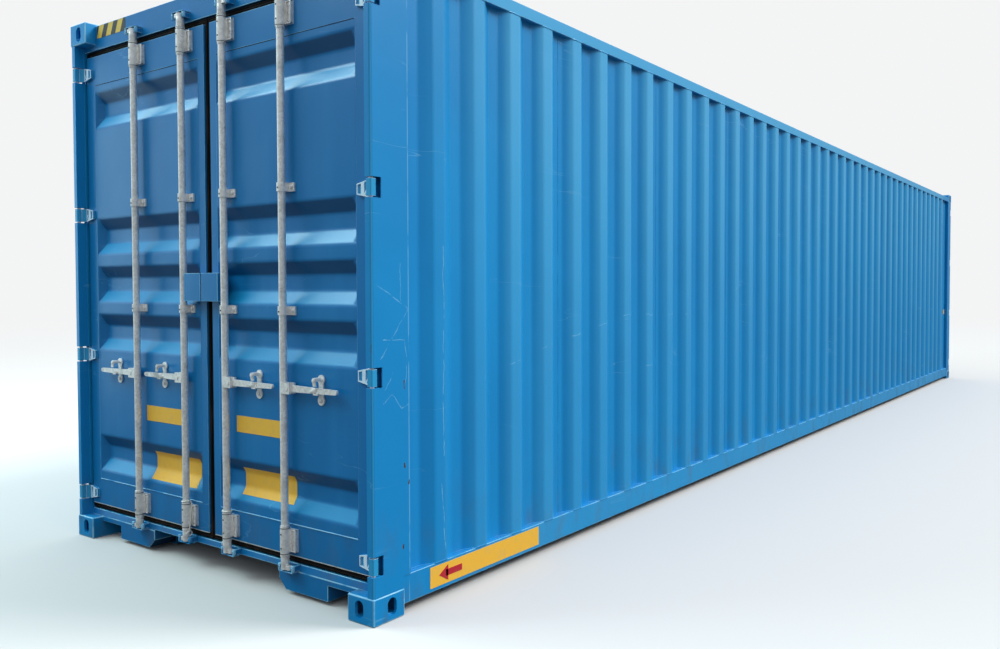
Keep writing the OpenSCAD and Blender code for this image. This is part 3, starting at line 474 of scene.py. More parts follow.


# A node's shape with eased edges, which then stands for the node. Only the edges whose
# faces meet between the two angles are eased, so sheet ends can stay sharp. Two kinds of
# face also get the edge finish, as a painted highlight: a post's bent corner, which looks
# halfway between along and across the box, and the raised rims of the hinge blades.
def easedNode(node, width, material, edge, angles=(30, 120), steps=2):
    piece = bpy.data.objects.new(node + "_eased", cadNodes[node].data.copy())
    bpy.context.collection.objects.link(piece)
    pick(piece)
    bpy.ops.mesh.customdata_custom_splitnormals_clear()
    bpy.ops.object.mode_set(mode="EDIT")
    bpy.ops.mesh.select_all(action="SELECT")
    bpy.ops.mesh.remove_doubles(threshold=0.00005)
    bpy.ops.mesh.tris_convert_to_quads(face_threshold=math.radians(1), shape_threshold=math.radians(180))
    shape = bmesh.from_edit_mesh(piece.data)
    weights = shape.edges.layers.float
    weight = weights.get("bevel_weight_edge") or weights.new("bevel_weight_edge")
    low, high = (math.radians(angle) for angle in angles)
    shortest = longEdges.get(node, 0)
    for line in shape.edges:
        meant = not shortest or (line.is_convex and line.calc_length() > shortest)
        if meant and len(line.link_faces) == 2 and low < line.calc_face_angle(0) < high:
            line[weight] = 1
    bmesh.update_edit_mesh(piece.data)
    bpy.ops.object.mode_set(mode="OBJECT")
    settle(piece, piece.name, bodyOf[node], slotOf[node], material, edge)
    for face in piece.data.polygons:
        corner = node.endswith("posts") and min(abs(face.normal.x), abs(face.normal.y)) > 0.45
        depth = halfLength - abs(face.center.x)
        rim = node.endswith("hinges") and abs(face.normal.x) > 0.9 and abs(depth - rimDepth) < 0.001
        face.material_index = 1 if corner or rim else 0
    modify(piece, "BEVEL", width=width, segments=steps, limit_method="WEIGHT", use_clamp_overlap=not shortest,
           material=1, miter_outer="MITER_ARC")
    smooth(piece)
    modify(piece, "WEIGHTED_NORMAL", keep_sharp=True)
    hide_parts(node)
    return piece


# For each node: width of the eased edge, finish, finish of the edge, then angles and steps
# where they are not the usual ones
eased = {
    "corner_castings": (0.006, "cast", "sideEdge", (30, 120), 3),
    "near_posts": (0.0042, "side", "postEdge"),
    "far_posts": (0.0028, "side", "postEdge"),
    "top_rails": (0.004, "side", "sideEdge"),
    "bottom_rails": (0.004, "side", "sideEdge"),
    "headers": (0.003, "end", "endEdge"),
    "near_sill": (0.0036, "end", "endEdge", (12, 120)),
    "far_sill": (0.0028, "end", "endEdge", (12, 120)),
    "right_wall": (0.010, "side", "side", (15, 60), 3),
    "left_wall": (0.010, "side", "side", (15, 60), 3),
    "ventilators": (0.004, "side", "sideEdge", (30, 120), 3),
    "keeper_lugs": (0.002, "end", "endEdge"),
    "keeper_caps": (0.0015, "end", "endEdge"),
}
for leafName in ("right_", "left_"):
    eased.update({
        leafName + "leaf_frame": (0.0022, "end", "endEdge"),
        leafName + "leaf_seal": (0.003, "rubber", "rubber"),
        leafName + "hinges": (0.0028, "hinge", "hingeRimHighlight"),
        leafName + "brackets": (0.002, "zinc", "zinc"),
        leafName + "handle_rests": (0.0015, "worn", "worn"),
        leafName + "lock_box": (0.0018, "end", "endEdge"),
    })
    for place in ("outer_", "inner_"):
        eased[leafName + place + "rod"] = (0.002, "zinc", "zinc")
        eased[leafName + place + "handle"] = (0.003, "worn", "worn")
        eased[leafName + place + "flap"] = (0.0015, "worn", "worn")
for far, near in (("leaf_frames", "leaf_frame"), ("leaf_seals", "leaf_seal"), ("hinges", "hinges"),
                  ("brackets", "brackets"), ("handle_rests", "handle_rests"), ("lock_box", "lock_box"),
                  ("rods", "outer_rod"), ("handles", "outer_handle")):
    eased["far_" + far] = eased["right_" + near]
carriedOver = {
    "floor_deck": "wood", "crossmembers": "under", "gooseneck_tunnel": "under", "tunnel_rails": "under",
    "hinge_pins": "zinc", "right_ring": "zinc", "left_ring": "zinc",
}


def dressNodes():
    for node, spec in eased.items():
        easedNode(node, *spec)
    for node, material in carriedOver.items():
        piece = cadNodes[node]
        piece.data.materials.clear()
        piece.data.materials.append(finishes[material])
    print("nodes dressed:", len(eased) + len(carriedOver))


# Pressed sheets: a grid with lines close together on the bends, thickened away from its face
def bendLines(low, high, bends, steps=4):
    lines = {low, high}
    for middle, reach in bends:
        lines.update(middle + reach * step / steps for step in range(-steps, steps + 1))
    wide = sorted(line for line in lines if low - 1e-9 <= line <= high + 1e-9)
    filled = []
    for first, second in zip(wide, wide[1:]):
        parts = max(1, math.ceil((second - first) / 0.09))
        filled += [first + (second - first) * part / parts for part in range(parts)]
    return filled + [wide[-1]]


# A ramp from 0 to 1 with its two corners rounded over the share w
def softRamp(t, w=0.16):
    if t <= -w:
        return 0
    if t < w:
        return (t + w) ** 2 / (4 * w)
    if t <= 1 - w:
        return t
    if t < 1 + w:
        return 1 - (1 - t + w) ** 2 / (4 * w)
    return 1


def pressedSheet(across, along, surface, thickness, facing):
    bpy.ops.mesh.primitive_grid_add(x_subdivisions=len(across) - 1, y_subdivisions=len(along) - 1, size=1)
    sheet = bpy.context.object
    for corner in sheet.data.vertices:
        i = round((corner.co.x + 0.5) * (len(across) - 1))
        j = round((corner.co.y + 0.5) * (len(along) - 1))
        corner.co = surface(across[i], along[j])
    sheet.data.update()
    turned = sheet.data.polygons[0].normal.dot(Vector(facing)) < 0
    bpy.ops.object.mode_set(mode="EDIT")
    bpy.ops.mesh.select_all(action="SELECT")
    # The longer diagonal of a bent quad follows the crease where two slopes meet
    bpy.ops.mesh.quads_convert_to_tris(quad_method="LONGEST_DIAGONAL", ngon_method="BEAUTY")
    if turned:
        bpy.ops.mesh.flip_normals()
    bpy.ops.object.mode_set(mode="OBJECT")
    modify(sheet, "SOLIDIFY", thickness=thickness, offset=-1)
    return sheet


doorSheet = {
    "face": 0.056, "edge": (0.075, 1.069), "z": (0.334, 2.553), "thick": 0.002, "deep": 0.038,
    "dents": (0.4855, 1.1701, 1.4378, 1.7056, 2.4129), "flat": 0.035, "slope": 0.066, "end": 0.034,
    "strip": 0.004, "wave": 0.0009, "calm": 0.1, "waves": (6.3, 5.1), "bend": 0.0106,
}


def doorDepth(y, z):
    low, high = doorSheet["edge"][0] + doorSheet["strip"], doorSheet["edge"][1] - doorSheet["strip"]
    ends = softRamp(min(y - low, high - y) / doorSheet["end"], 0.11)
    deepest = 0
    for middle in doorSheet["dents"]:
        reach = doorSheet["flat"] + doorSheet["slope"]
        deepest = max(deepest, min(softRamp((reach - abs(z - middle)) / doorSheet["slope"]), ends))
    return doorSheet["deep"] * deepest


def addDoorSheets():
    yLow, yHigh = doorSheet["edge"]
    zLow, zHigh = doorSheet["z"]
    ends = [(yLow + doorSheet["strip"], 0.004), (yLow + doorSheet["strip"] + doorSheet["end"], 0.004)]
    ends += [(yLow + yHigh - y, reach) for y, reach in ends]
    ys = bendLines(yLow, yHigh, ends, 3)
    bends = []
    for middle in doorSheet["dents"]:
        for turn in (-1, 1):
            for out in (doorSheet["flat"], doorSheet["flat"] + doorSheet["slope"]):
                bends.append((middle + turn * out, doorSheet["bend"]))
    zs = bendLines(zLow, zHigh, bends)
    side, up = doorSheet["waves"]
    far = []
    for end in (-1, 1):
        for leaf, sign in hands:
            phase = random.uniform(0, 6)

            def surface(y, z):
                rim = min(y - yLow, yHigh - y, z - zLow, zHigh - z)
                swell = math.sin(up * z + phase) * math.sin(side * y + 2 * phase) - 1
                wave = doorSheet["wave"] * min(1, rim / doorSheet["calm"]) * swell
                inward = doorSheet["face"] + doorDepth(y, z) - wave
                return end * (halfLength - inward), sign * y, z

            sheet = pressedSheet(ys, zs, surface, doorSheet["thick"], (end, 0, 0))
            if end == 1:
                far.append(sheet)
                continue
            settle(sheet, leaf + "_leaf_sheet_pressed", leaf + "_leaf", "end_paint", "end")
            smooth(sheet, 30)
            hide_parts(leaf + "_leaf_sheet")
    settle(joined(far), "far_leaf_sheets_pressed", "root", "end_paint", "end")
    smooth(bpy.context.object, 30)
    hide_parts("far_leaf_sheets")


roofSheet = {
    "top": 2.846, "thick": 0.002, "half": (5.918, 1.212), "pitch": 0.209, "rise": 0.020,
    "crest": 0.090, "slope": 0.014, "flat": 0.080, "end": 0.022, "bend": 0.003,
}


def addRoof():
    xHalf, yHalf = roofSheet["half"]
    pitch, crest, slope = roofSheet["pitch"], roofSheet["crest"], roofSheet["slope"]
    count = math.floor(2 * xHalf / pitch) - 1
    first = -(count * pitch - (pitch - crest - 2 * slope)) / 2
    middles = [first + i * pitch + slope + crest / 2 for i in range(count)]
    bends = []
    for middle in middles:
        for side in (-1, 1):
            bends += [(middle + side * (crest / 2 + out), roofSheet["bend"]) for out in (0, slope)]
    edge = yHalf - roofSheet["flat"]
    yBends = [(side * (edge - back), roofSheet["bend"]) for side in (-1, 1) for back in (0, roofSheet["end"])]

    def surface(x, y):
        nearest = min(middles, key=lambda middle: abs(middle - x))
        up = min(softRamp((crest / 2 + slope - abs(x - nearest)) / slope, 0.2),
                 softRamp((edge - abs(y)) / roofSheet["end"], 0.14))
        return x, y, roofSheet["top"] + roofSheet["thick"] + roofSheet["rise"] * up

    sheet = pressedSheet(bendLines(-xHalf, xHalf, bends, 2), bendLines(-yHalf, yHalf, yBends, 2), surface,
                         roofSheet["thick"], (0, 0, 1))
    settle(sheet, "roof_pressed", "root", "side_paint", "roof")
    smooth(sheet, 40)
    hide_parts("roof")


# Door ropes: the route of part.scad, in metres, from the bar's axis
rope = {
    "diameter": 0.006,
    "barDepth": 0.025,
    "barSide": 0.172,
    "route": [
        (19, -11, 334), (7.5, -20.5, 334), (-7.5, -20.5, 334), (-18.5, -11, 334), (-21.5, 0, 335),
        (-18.5, 11, 336), (-7.5, 20.5, 337), (4, 22, 337), (10, 24, 333), (12, 26, 324),
        (12, 26.5, 310), (10.5, 26.5, 295), (9, 26, 280), (7, 26, 265), (5, 26, 250),
        (3.5, 26, 235), (2, 26, 220), (1, 26, 205), (0, 26, 195), (0, 26, 187.3)],
}


def tubeAlong(points, radius, sides=12):
    bpy.ops.curve.primitive_bezier_curve_add()
    line = bpy.context.object
    line.data.splines.clear()
    spline = line.data.splines.new("POLY")
    spline.points.add(len(points) - 1)
    for point, place in zip(spline.points, points):
        point.co = (*place, 1)
    line.location = (0, 0, 0)
    line.data.dimensions = "3D"
    line.data.bevel_depth = radius
    line.data.bevel_resolution = sides // 4 - 1
    line.data.use_fill_caps = True
    pick(line)
    bpy.ops.object.convert(target="MESH")
    return bpy.context.object


def addRope(side, sign):
    points = []
    for depth, across, up in rope["route"]:
        points.append((-halfLength + rope["barDepth"] + depth / 1000,
                       sign * (rope["barSide"] - across / 1000), up / 1000))
    tube = tubeAlong(points, rope["diameter"] / 2)
    length = sum((Vector(b) - Vector(a)).length for a, b in zip(points, points[1:]))
    settle(tube, side + "_rope_twisted", side + "_leaf", "rope", "rope")
    smooth(tube, 60)
    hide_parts(side + "_rope")
    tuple(points[0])
    print(side, "rope length", round(length, 4))


# Hexagon bolt head on its washer, pointing along -X, with its seat at x = 0
bolt = {"across": 0.0085, "head": 0.007, "washer": 0.012, "washerThick": 0.002}


def makeBolt():
    bpy.ops.mesh.primitive_cylinder_add(vertices=16, radius=bolt["washer"], depth=bolt["washerThick"],
                                        location=(0, 0, bolt["washerThick"] / 2))
    washer = bpy.context.object
    bpy.ops.mesh.primitive_cylinder_add(vertices=6, radius=bolt["across"], depth=bolt["head"],
                                        location=(0, 0, bolt["washerThick"] + bolt["head"] / 2))
    head = bpy.context.object
    modify(head, "BEVEL", width=0.0012, segments=1, limit_method="ANGLE")
    both = joined([washer, head])
    both.rotation_euler = (0, math.radians(-90), 0)
    bpy.ops.object.transform_apply(location=True, rotation=True, scale=True)
    return both


bars = {"inner": 0.172, "outer": 0.612, "seat": 0.048}
bearings = {"heights": (0.262, 2.65), "out": 0.040, "up": 0.034}
guides = {"heights": (1.3115, 1.8698), "out": 0.040}
retainers = {"out": 0.226, "height": 0.962, "up": 0.046, "seat": 0.050}


def boltPlaces(sign):
    places = []
    for bar in (bars["inner"], bars["outer"]):
        for side in (-1, 1):
            for middle in bearings["heights"]:
                for up in (-bearings["up"], bearings["up"]):
                    places.append((bars["seat"], sign * (bar + side * bearings["out"]), middle + up))
            for middle in guides["heights"]:
                places.append((bars["seat"], sign * (bar + side * guides["out"]), middle))
        places.append((retainers["seat"], sign * (bar + retainers["out"]),
                       retainers["height"] - retainers["up"]))
    return places


def addBolts(source):
    for side, sign in hands:
        near = [copyAt(source, Matrix.Translation((-halfLength + u, y, z))) for u, y, z in boltPlaces(sign)]
        settle(joined(near), side + "_leaf_bolts", side + "_leaf", "zinc", "zinc")
    far = []
    about = Matrix.Rotation(math.pi, 4, "Z")
    for sign in (-1, 1):
        for u, y, z in boltPlaces(sign):
            far.append(copyAt(source, Matrix.Translation((halfLength - u, y, z)) @ about))
    settle(joined(far), "far_leaf_bolts", "root", "zinc", "zinc")
    discard(source)


def flip(piece):
    pick(piece)
    bpy.ops.object.mode_set(mode="EDIT")
    bpy.ops.mesh.select_all(action="SELECT")
    bpy.ops.mesh.flip_normals()
    bpy.ops.object.mode_set(mode="OBJECT")


def soften(piece, width, steps=2):
    modify(piece, "BEVEL", width=width, segments=steps, limit_method="ANGLE", angle_limit=math.radians(40))
    return piece


def cylinder(radius, low, high, sides=24):
    axis = Vector(high) - Vector(low)
    bpy.ops.mesh.primitive_cylinder_add(vertices=sides, radius=radius, depth=axis.length)
    piece = bpy.context.object
    piece.rotation_mode = "QUATERNION"
    piece.rotation_quaternion = axis.to_track_quat("Z", "Y")
    piece.location = (Vector(high) + Vector(low)) / 2
    bpy.ops.object.transform_apply(location=True, rotation=True, scale=True)
    return piece


# Plate with an outline of y and z points, from one depth to another
def slab(outline, low, high):
    bpy.ops.mesh.primitive_circle_add(vertices=len(outline), fill_type="NGON")
    piece = bpy.context.object
    for corner, (y, z) in zip(piece.data.vertices, outline):
        corner.co = (low, y, z)
    piece.data.update()
    if piece.data.polygons[0].normal.x > 0:
        flip(piece)
    modify(piece, "SOLIDIFY", thickness=high - low, offset=-1)
    return piece


# Extras of a locking bar. Here x is the depth behind the end plane, y the distance from the
# bar, negative outward, and z the height.
gear = {
    "axis": 0.025, "rod": 0.017, "bearing": (0.262, 2.65), "half": 0.052, "flange": 0.056,
    "camLow": 0.150, "camHigh": 2.768, "retainer": 0.226, "stud": 1.008, "handle": 0.962,
    "keepers": ((0.129, 0.153), (2.765, 2.789)),
}


# Tray of the wide flange, with its rib
tray = {
    "front": 0.037, "endFront": 0.038, "seat": 0.050, "inner": (-0.027, -0.021), "outer": 0.005,
    "end": 0.0035, "ease": 0.0015,
    "ribFront": 0.041, "rib": (-0.047, -0.033), "ribHalf": 0.009, "ribEase": 0.003,
}


def bearingTrim():
    made = []
    flange, half, seat, rib = gear["flange"], gear["half"], tray["seat"], tray["ribHalf"]
    for middle in gear["bearing"]:
        for y0, y1 in ((-flange, -flange + tray["outer"]), tray["inner"]):
            wallPiece = block((tray["front"], y0, middle - half), (seat, y1, middle + half))
            made.append(soften(wallPiece, tray["ease"]))
        for up in (-1, 1):
            low = middle + up * (half - tray["end"]) - tray["end"]
            rail = block((tray["endFront"], -flange, low), (seat, tray["inner"][1], low + 2 * tray["end"]))
            made.append(soften(rail, tray["ease"]))
        y0, y1 = tray["rib"]
        ridge = block((tray["ribFront"], y0, middle - rib), (seat, y1, middle + rib))
        made.append(soften(ridge, tray["ribEase"]))
    return made


# Sunk screws in the front of the bearings and guides, painted near black as the shade in their holes
screw = {"radius": 0.0042, "depth": (0.0024, 0.0045), "up": 0.032, "guideDrop": 0.004}


def screwTrim():
    heights = [middle + up for middle in gear["bearing"] for up in (-screw["up"], screw["up"])]
    heights += [middle - screw["guideDrop"] for middle in guides["heights"]]
    low, high = screw["depth"]
    return [cylinder(screw["radius"], (low, 0, z), (high, 0, z), 12) for z in heights]


# Dark rings painted as the shade in the grooves between the rings of each thrust collar
groove = {"radius": 0.0217, "half": 0.0016, "off": 0.0065}


def grooveTrim():
    made = []
    for middle in gear["bearing"]:
        for up in (-1, 1):
            z = middle + up * (gear["half"] + groove["off"])
            made.append(cylinder(groove["radius"], (gear["axis"], 0, z - groove["half"]),
                                 (gear["axis"], 0, z + groove["half"]), 32))
    return made


# Standing ear of the handle's retainer, half round on top, with its rivet
ear = {"radius": 0.0125, "drop": 0.003, "depth": (0.0145, 0.051),
       "rivet": 0.0085, "rivetDepth": (0.0055, 0.0085)}


def earTrim():
    y, z, radius = -gear["retainer"], gear["stud"], ear["radius"]
    turns = [math.radians(step) for step in range(0, 181, 18)]
    outline = [(y + radius * math.cos(turn), z + radius * math.sin(turn)) for turn in turns]
    outline += [(y - radius, z - ear["drop"]), (y + radius, z - ear["drop"])]
    low, high = ear["rivetDepth"]
    rivet = cylinder(ear["rivet"], (low, y, z), (high, y, z), 20)
    return [soften(slab(outline, *ear["depth"]), 0.0015), soften(rivet, 0.001)]


# Collars beside the bearings, a sleeve through each seal, and round ends on the cams
def barTrim():
    axis, low, high = gear["axis"], *gear["bearing"]
    camLow, camHigh = gear["camLow"], gear["camHigh"]
    reach = gear["half"] + 0.0125
    rings = [(low - reach - 0.006, 0.0212), (low - reach - 0.0135, 0.0205), (low + reach + 0.005, 0.0200),
             (high + reach + 0.006, 0.0212), (high + reach + 0.0135, 0.0205), (high - reach - 0.005, 0.0200)]
    rounds = [(middle - 0.0022, middle + 0.0022, radius) for middle, radius in rings]
    rounds += [(camLow, low - reach - 0.018, 0.0192), (high + reach + 0.018, camHigh, 0.0192),
               (camLow - 0.021, camLow - 0.018, 0.011), (camHigh + 0.018, camHigh + 0.021, 0.011)]
    return [soften(cylinder(radius, (axis, 0, z0), (axis, 0, z1)), 0.001) for z0, z1, radius in rounds]


# Forged lip on the handle, where the catch meets it
lip = {
    "outline": ((-0.006, 0.0122), (-0.010, 0.001), (0.004, -0.0122), (0.016, -0.009),
                (0.030, -0.0122), (0.042, -0.003), (0.022, 0.004), (0.016, 0.0122)),
    "depth": (0.0165, 0.0200),
}


def handleTrim():
    y, z = -gear["retainer"], gear["handle"]
    return [soften(slab([(y + a, z + b) for a, b in lip["outline"]], *lip["depth"]), 0.0012)]


# Rounded front of each keeper lug, which takes the paler edge finish as painted light
lobe = {"radius": 0.0085, "depth": 0.0225, "places": (-0.0570, 0.0345), "over": 0.002}


def keeperTrim():
    made = []
    depth, over = lobe["depth"], lobe["over"]
    for low, high in gear["keepers"]:
        for y in lobe["places"]:
            post = cylinder(lobe["radius"], (depth, y, low - over), (depth, y, high + over), 16)
            made.append(soften(post, over))
    return made


def addGear():
    kinds = {
        "bearing": (bearingTrim, "_leaf", "zinc"), "ear": (earTrim, "_leaf", "worn"),
        "screw": (screwTrim, "_leaf", "paintedShade"), "groove": (grooveTrim, "_rod", "paintedShade"),
        "bar": (barTrim, "_rod", "zinc"), "lip": (handleTrim, "_handle", "worn"),
        # The keepers take the paler edge finish as painted light
        "keeper": (keeperTrim, "", "endEdge"),
    }
    for kind, (make, carrier, material) in kinds.items():
        base = joined(make())
        smooth(base, 40)
        fixed = []
        for end in (1, -1):
            for side, sign in hands:
                for place in ("outer", "inner"):
                    # A bearing's wide flange lies on the right of its bar, as the photo shows
                    across = end if kind == "bearing" else -sign
                    twin = copyAt(base, Matrix(((end, 0, 0, -end * halfLength),
                                                (0, across, 0, sign * bars[place]),
                                                (0, 0, 1, 0), (0, 0, 0, 1))))
                    if end * across < 0:
                        flip(twin)
                    if end < 0 or not carrier:
                        fixed.append(twin)
                        continue
                    name = side + "_" + place + "_" + kind + "_trim"
                    body = side + "_leaf" if carrier == "_leaf" else bodyOf[side + "_" + place + carrier]
                    settle(twin, name, body, "zinc", material)
        settle(joined(fixed), "fixed_" + kind + "_trim", "root", "zinc" if carrier else "end_paint", material)
        discard(base)


# Lines along the door seams and the lips of the seals
seams = {
    "face": 0.056, "low": 0.334, "high": 2.553, "sheet": (0.079, 1.065), "leaf": (0.010, 1.152),
    "seal": 0.0655, "lips": (0.166, 0.180, 2.727, 2.739), "gap": 0.0085, "strip": (0.1862, 0.1892),
    "bead": 0.0027, "lip": 0.0032,
}
seamLooks = {"end": ("end_paint", "endEdge"), "rubber": ("seal_rubber", "rubber"), "zinc": ("zinc", "zinc")}


def addSeams():
    fixed = {name: [] for name in seamLooks}
    for end in (1, -1):
        for side, sign in hands:
            def at(depth, y, z):
                return -end * (halfLength - depth), sign * y, z

            def bar(depths, ys, zs):
                corners = [at(depth, y, z) for depth, y, z in zip(depths, ys, zs)]
                return block([min(pair) for pair in zip(*corners)], [max(pair) for pair in zip(*corners)])

            (y0, y1), (y2, y3) = seams["sheet"], seams["leaf"]
            face, seal = seams["face"], seams["seal"]
            low, high, lip = seams["low"], seams["high"], seams["lip"]
            # The bead takes the paler edge finish as a painted highlight along its top
            bead = tubeAlong([at(face - 0.0004, y, low) for y in (y0, y1)], seams["bead"], 8)
            # A thin dark strip in the rubber finish, painted as the shade of the gap under the top frame
            # member
            dark = [bar((face - 0.0006, face + 0.001), (y0, y1), (high - 0.0016, high + 0.0016))]
            for z in seams["lips"]:
                dark.append(tubeAlong([at(seal, y2 - 0.004, z), at(seal, y3 + 0.006, z)], lip, 8))
            for y in (seams["gap"], y3 + 0.009):
                dark.append(tubeAlong([at(seal, y, seams["lips"][i]) for i in (0, 3)], lip, 8))
            strip = bar((face + 0.0012, face + 0.0042), (y2 + 0.016, y3), seams["strip"])
            parts = {"end": [bead], "rubber": dark, "zinc": [strip]}
            for name, pieces in parts.items():
                if end < 0:
                    fixed[name] += pieces
                    continue
                slotName, look = seamLooks[name]
                settle(joined(pieces), side + "_" + name + "_seams", side + "_leaf", slotName, look)
    for name, pieces in fixed.items():
        slotName, look = seamLooks[name]
        settle(joined(pieces), "far_" + name + "_seams", "root", slotName, look)


# Louvres of the two ventilator covers
louvre = {"cover": 0.060, "count": 6, "margin": 0.011, "side": 0.007, "out": 0.004, "half": 0.003}


def addLouvres():
    (x0, y0, z0), (x1, y1, z1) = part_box("ventilators")
    margin, side, half = louvre["margin"], louvre["side"], louvre["half"]
    made = []
    for left, right, y, out in ((x1 - louvre["cover"], x1, y0, -1), (x0, x0 + louvre["cover"], y1, 1)):
        front = y + out * louvre["out"]
        for i in range(louvre["count"]):
            z = z0 + margin + i * (z1 - z0 - 2 * margin) / (louvre["count"] - 1)
            rib = block((left + side, min(y, front), z - half), (right - side, max(y, front), z + half))
            made.append(soften(rib, 0.0018))
    settle(joined(made), "louvres", "root", "side_paint", "side")


# Corrugation of the long walls, as in part.scad
wall = {
    "set": 0.005, "deep": 0.036, "outFlat": 0.072, "inFlat": 0.070, "slope": 0.068, "first": 0.377,
    "post": 0.215, "railTop": 0.172, "railUnder": 2.786, "panel": 4,
}


def wallLine(side):
    pitch = wall["outFlat"] + wall["inFlat"] + 2 * wall["slope"]
    inner = side * (halfWidth - wall["set"] - wall["deep"])
    outer = side * (halfWidth - wall["set"])
    points = [(-halfLength + wall["post"], inner)]
    x = -halfLength + wall["first"]
    while x + wall["outFlat"] < halfLength - wall["first"] + 0.01:
        points += [(x - wall["slope"], inner), (x, outer), (x + wall["outFlat"], outer),
                   (x + wall["outFlat"] + wall["slope"], inner)]
        x += pitch
    return points + [(halfLength - wall["post"], inner)]


# Beads along the rails, and upright ones with a slight shake between the wall's panels
welds = {"fillet": 0.0035, "seam": 0.0045, "sunk": 0.0015, "shake": 0.0004, "steps": 80}


def addWelds():
    pitch = wall["outFlat"] + wall["inFlat"] + 2 * wall["slope"]
    firstSeam = -halfLength + wall["first"] + 3 * pitch + wall["outFlat"] + wall["slope"] + wall["inFlat"] / 2
    for name, side in hands:
        beads = []
        line = wallLine(side)
        for z in (wall["railTop"] + 0.001, wall["railUnder"] - 0.001):
            beads.append(tubeAlong([(x, y, z) for x, y in line], welds["fillet"], 8))
        x = firstSeam
        face = side * (halfWidth - wall["set"] - wall["deep"] - welds["seam"] + welds["sunk"])
        while x < halfLength - wall["first"]:
            points = []
            for i in range(welds["steps"] + 1):
                z = wall["railTop"] + (wall["railUnder"] - wall["railTop"]) * i / welds["steps"]
                points.append((x + random.uniform(-welds["shake"], welds["shake"]), face, z))
            beads.append(tubeAlong(points, welds["seam"], 8))
            x += wall["panel"] * pitch
        settle(joined(beads), name + "_wall_welds", "root", "side_paint", "side")
        smooth(bpy.context.object, 60)


# Film labels: a fine grid laid over what is behind it, a little proud
labels = {
    "right_upper": {"body": "right_leaf", "y": (-0.548, -0.214), "z": (0.72, 0.80)},
    "right_lower": {"body": "right_leaf", "y": (-0.612, -0.228), "z": (0.415, 0.545)},
    "left_upper": {"body": "left_leaf", "y": (0.236, 0.580), "z": (0.708, 0.79)},
    "left_lower": {"body": "left_leaf", "y": (0.140, 0.552), "z": (0.395, 0.541)},
}


# The rail's label with its plain arrow towards the tunnel end, and the small far label
railLabel = {"x": (-5.757, -4.94), "z": (0.064, 0.160), "tip": -5.660, "shaft": (-5.655, -5.545),
             "middle": 0.112, "half": 0.015}
farLabel = {"x": (5.79, 5.85), "z": (1.02, 1.09), "inward": (0.0353, 0.0363)}


def addLabels():
    for name, spec in labels.items():
        side = name.split("_")[0]
        (y0, y1), (z0, z1) = spec["y"], spec["z"]
        bpy.ops.mesh.primitive_grid_add(x_subdivisions=24, y_subdivisions=40, size=1)
        film = bpy.context.object
        film.scale = (y1 - y0, z1 - z0, 1)
        film.rotation_euler = (math.radians(90), 0, math.radians(-90))
        film.location = (-halfLength + 0.03, (y0 + y1) / 2, (z0 + z1) / 2)
        bpy.ops.object.transform_apply(location=True, rotation=True, scale=True)
        sheet = bpy.data.objects[side + "_leaf_sheet_pressed"]
        modify(film, "SHRINKWRAP", target=sheet, wrap_method="PROJECT", use_project_x=True,
               use_positive_direction=True, use_negative_direction=True, offset=0.0008)
        modify(film, "SOLIDIFY", thickness=0.0005, offset=0)
        settle(film, name + "_film", spec["body"], "end_paint", "yellow")
        smooth(film, 50)
    y = -halfWidth + wall["set"]
    (x0, x1), (z0, z1) = railLabel["x"], railLabel["z"]
    strip = block((x0, y - 0.0012, z0), (x1, y - 0.0002, z1))
    modify(strip, "BEVEL", width=0.0004, segments=1)
    settle(strip, "rail_film", "root", "side_paint", "yellow")
    bpy.ops.mesh.primitive_cylinder_add(vertices=3, radius=0.036, depth=0.001)
    tip = bpy.context.object
    tip.scale = (1.15, 1.1, 1)
    tip.rotation_euler = (math.radians(90), math.radians(-90), 0)
    tip.location = (railLabel["tip"], y - 0.0016, railLabel["middle"])
    (x0, x1), z, half = railLabel["shaft"], railLabel["middle"], railLabel["half"]
    shaft = block((x0, y - 0.0021, z - half), (x1, y - 0.0011, z + half))
    arrow = joined([tip, shaft])
    settle(arrow, "rail_arrow", "root", "side_paint", "red")
    (x0, x1), (z0, z1), (low, high) = farLabel["x"], farLabel["z"], farLabel["inward"]
    small = block((x0, y + low, z0), (x1, y + high, z1))
    settle(small, "far_wall_film", "root", "side_paint", "yellow")


hazard = {"face": 0.056, "y": (0.74, 1.035), "z": (2.810, 2.878)}


def addHazardStripes():
    plates = []
    for end in (-1, 1):
        for side in (-1, 1):
            x = end * (halfLength - hazard["face"])
            ys = sorted(side * y for y in hazard["y"])
            plates.append(block((min(x, x + end * 0.001), ys[0], hazard["z"][0]),
                                (max(x, x + end * 0.001), ys[1], hazard["z"][1])))
    settle(joined(plates), "header_stripes", "root", "end_paint", "hazard")


# Pale floor that fades into the white background. It bounces as little light as asphalt does.
def addStage():
    bpy.ops.mesh.primitive_circle_add(vertices=96, radius=120, fill_type="NGON", location=(0, 0, 0))
    floor = bpy.context.object
    floor.name = "paleFloor"
    ground = Finish("paleFloor")
    away = ground.vectors("LENGTH", [ground.place], "Value")
    fade = away.ease(10, 38)
    seen = ground.node("LightPath", {}, [], "Is Camera Ray")
    pale = ground.blend(seen, light["bounce"], light["floor"])
    ground.put(Base_Color=pale, Roughness=0.9, Specular_IOR_Level=0.1)
    glow = ground.node("Emission", {}, {"Color": (*light["backdrop"], 1), "Strength": 1})
    mixed = ground.node("MixShader", {}, [fade * seen, Wire(ground, ground.shader.outputs[0]), glow])
    ground.tree.links.new(mixed.socket, ground.tree.nodes["Material Output"].inputs[0])
    floor.data.materials.append(ground.material)


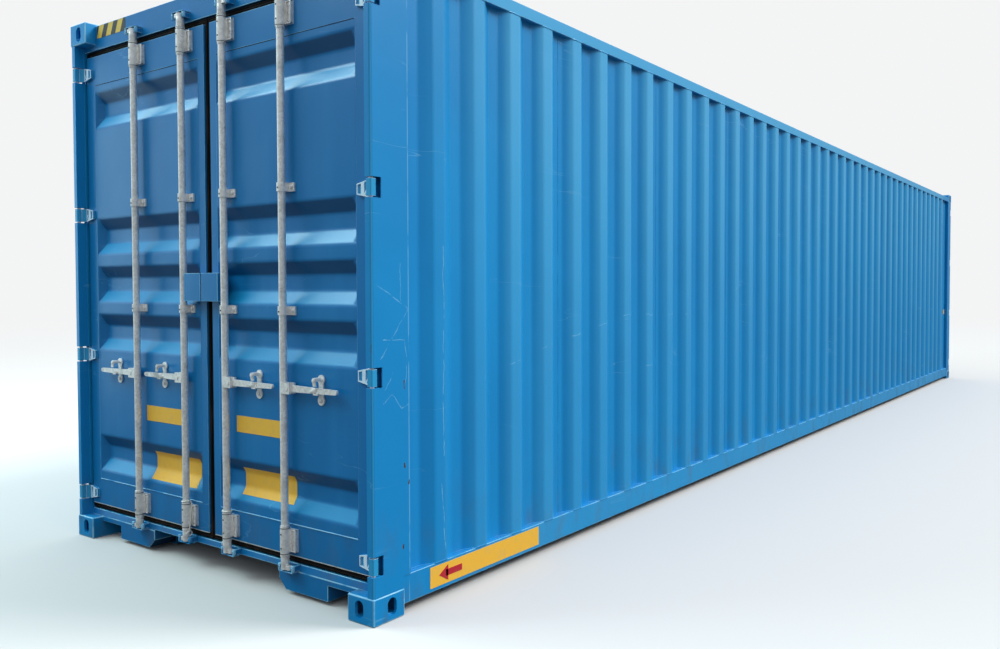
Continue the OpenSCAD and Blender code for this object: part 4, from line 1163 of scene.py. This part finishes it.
light = {
    "sunTurn": (0.80, -1.0, 1.05), "sunStrength": 2.6, "sunSize": 25,
    "sky": (1.20, 1.33, 1.40), "low": (0.145, 0.155, 0.165),
    "heights": (-0.05, 0.95),
    "floor": (0.640, 0.622, 0.605), "bounce": (0.11, 0.11, 0.105), "backdrop": (0.90, 0.905, 0.91),
    "panels": (
        {"place": (-9.6, 6.4, 8.6), "aim": (-6.0, 0.5, 1.6), "size": (7, 4), "power": 700,
         "tint": (0.66, 0.96, 1.0)},
        {"place": (-8.8, 7.4, 2.2), "aim": (-6.1, 0.7, 1.5), "size": (2.6, 4), "power": 58,
         "tint": (0.62, 0.92, 1.0)},
    ),
}


def addLight():
    bpy.ops.object.light_add(type="SUN")
    sun = bpy.context.object
    sun.rotation_mode = "QUATERNION"
    sun.rotation_quaternion = Vector(light["sunTurn"]).to_track_quat("Z", "Y")
    sun.data.energy = light["sunStrength"]
    sun.data.angle = math.radians(light["sunSize"])
    for spec in light["panels"]:
        bpy.ops.object.light_add(type="AREA", location=spec["place"])
        panel = bpy.context.object
        panel.data.shape = "RECTANGLE"
        panel.data.size, panel.data.size_y = spec["size"]
        panel.data.energy = spec["power"]
        panel.data.color = spec["tint"]
        panel.rotation_mode = "QUATERNION"
        panel.rotation_quaternion = (Vector(spec["place"]) - Vector(spec["aim"])).to_track_quat("Z", "Y")
    world = bpy.data.worlds.new("softStudio")
    bpy.context.scene.world = world
    world.use_nodes = True
    tree = world.node_tree
    tree.nodes.clear()
    kinds = ("OutputWorld", "TexCoord", "SeparateXYZ", "MapRange", "LightPath", "Mix", "Mix", "Background")
    made = [tree.nodes.new("ShaderNode" + kind) for kind in kinds]
    surface, place, split, ramp, rays, sky, choice, back = made
    sky.data_type = choice.data_type = "RGBA"
    ramp.inputs[1].default_value, ramp.inputs[2].default_value = light["heights"]
    for node, entry, tint in ((sky, 6, "low"), (sky, 7, "sky"), (choice, 7, "backdrop")):
        node.inputs[entry].default_value = (*light[tint], 1)
    for source, out, node, entry in (
            (place, "Generated", split, 0), (split, "Z", ramp, 0), (ramp, 0, sky, 0), (sky, 2, choice, 6),
            (rays, "Is Camera Ray", choice, 0), (choice, 2, back, "Color"), (back, 0, surface, 0)):
        tree.links.new(source.outputs[out], node.inputs[entry])


addCamera()
for leafName, leafSign in hands:
    addRope(leafName, leafSign)
dressNodes()
addDoorSheets()
addRoof()
addBolts(makeBolt())
addGear()
addSeams()
addLouvres()
addWelds()
addLabels()
addHazardStripes()
addStage()
addLight()
bpy.context.scene.view_settings.view_transform = "Standard"
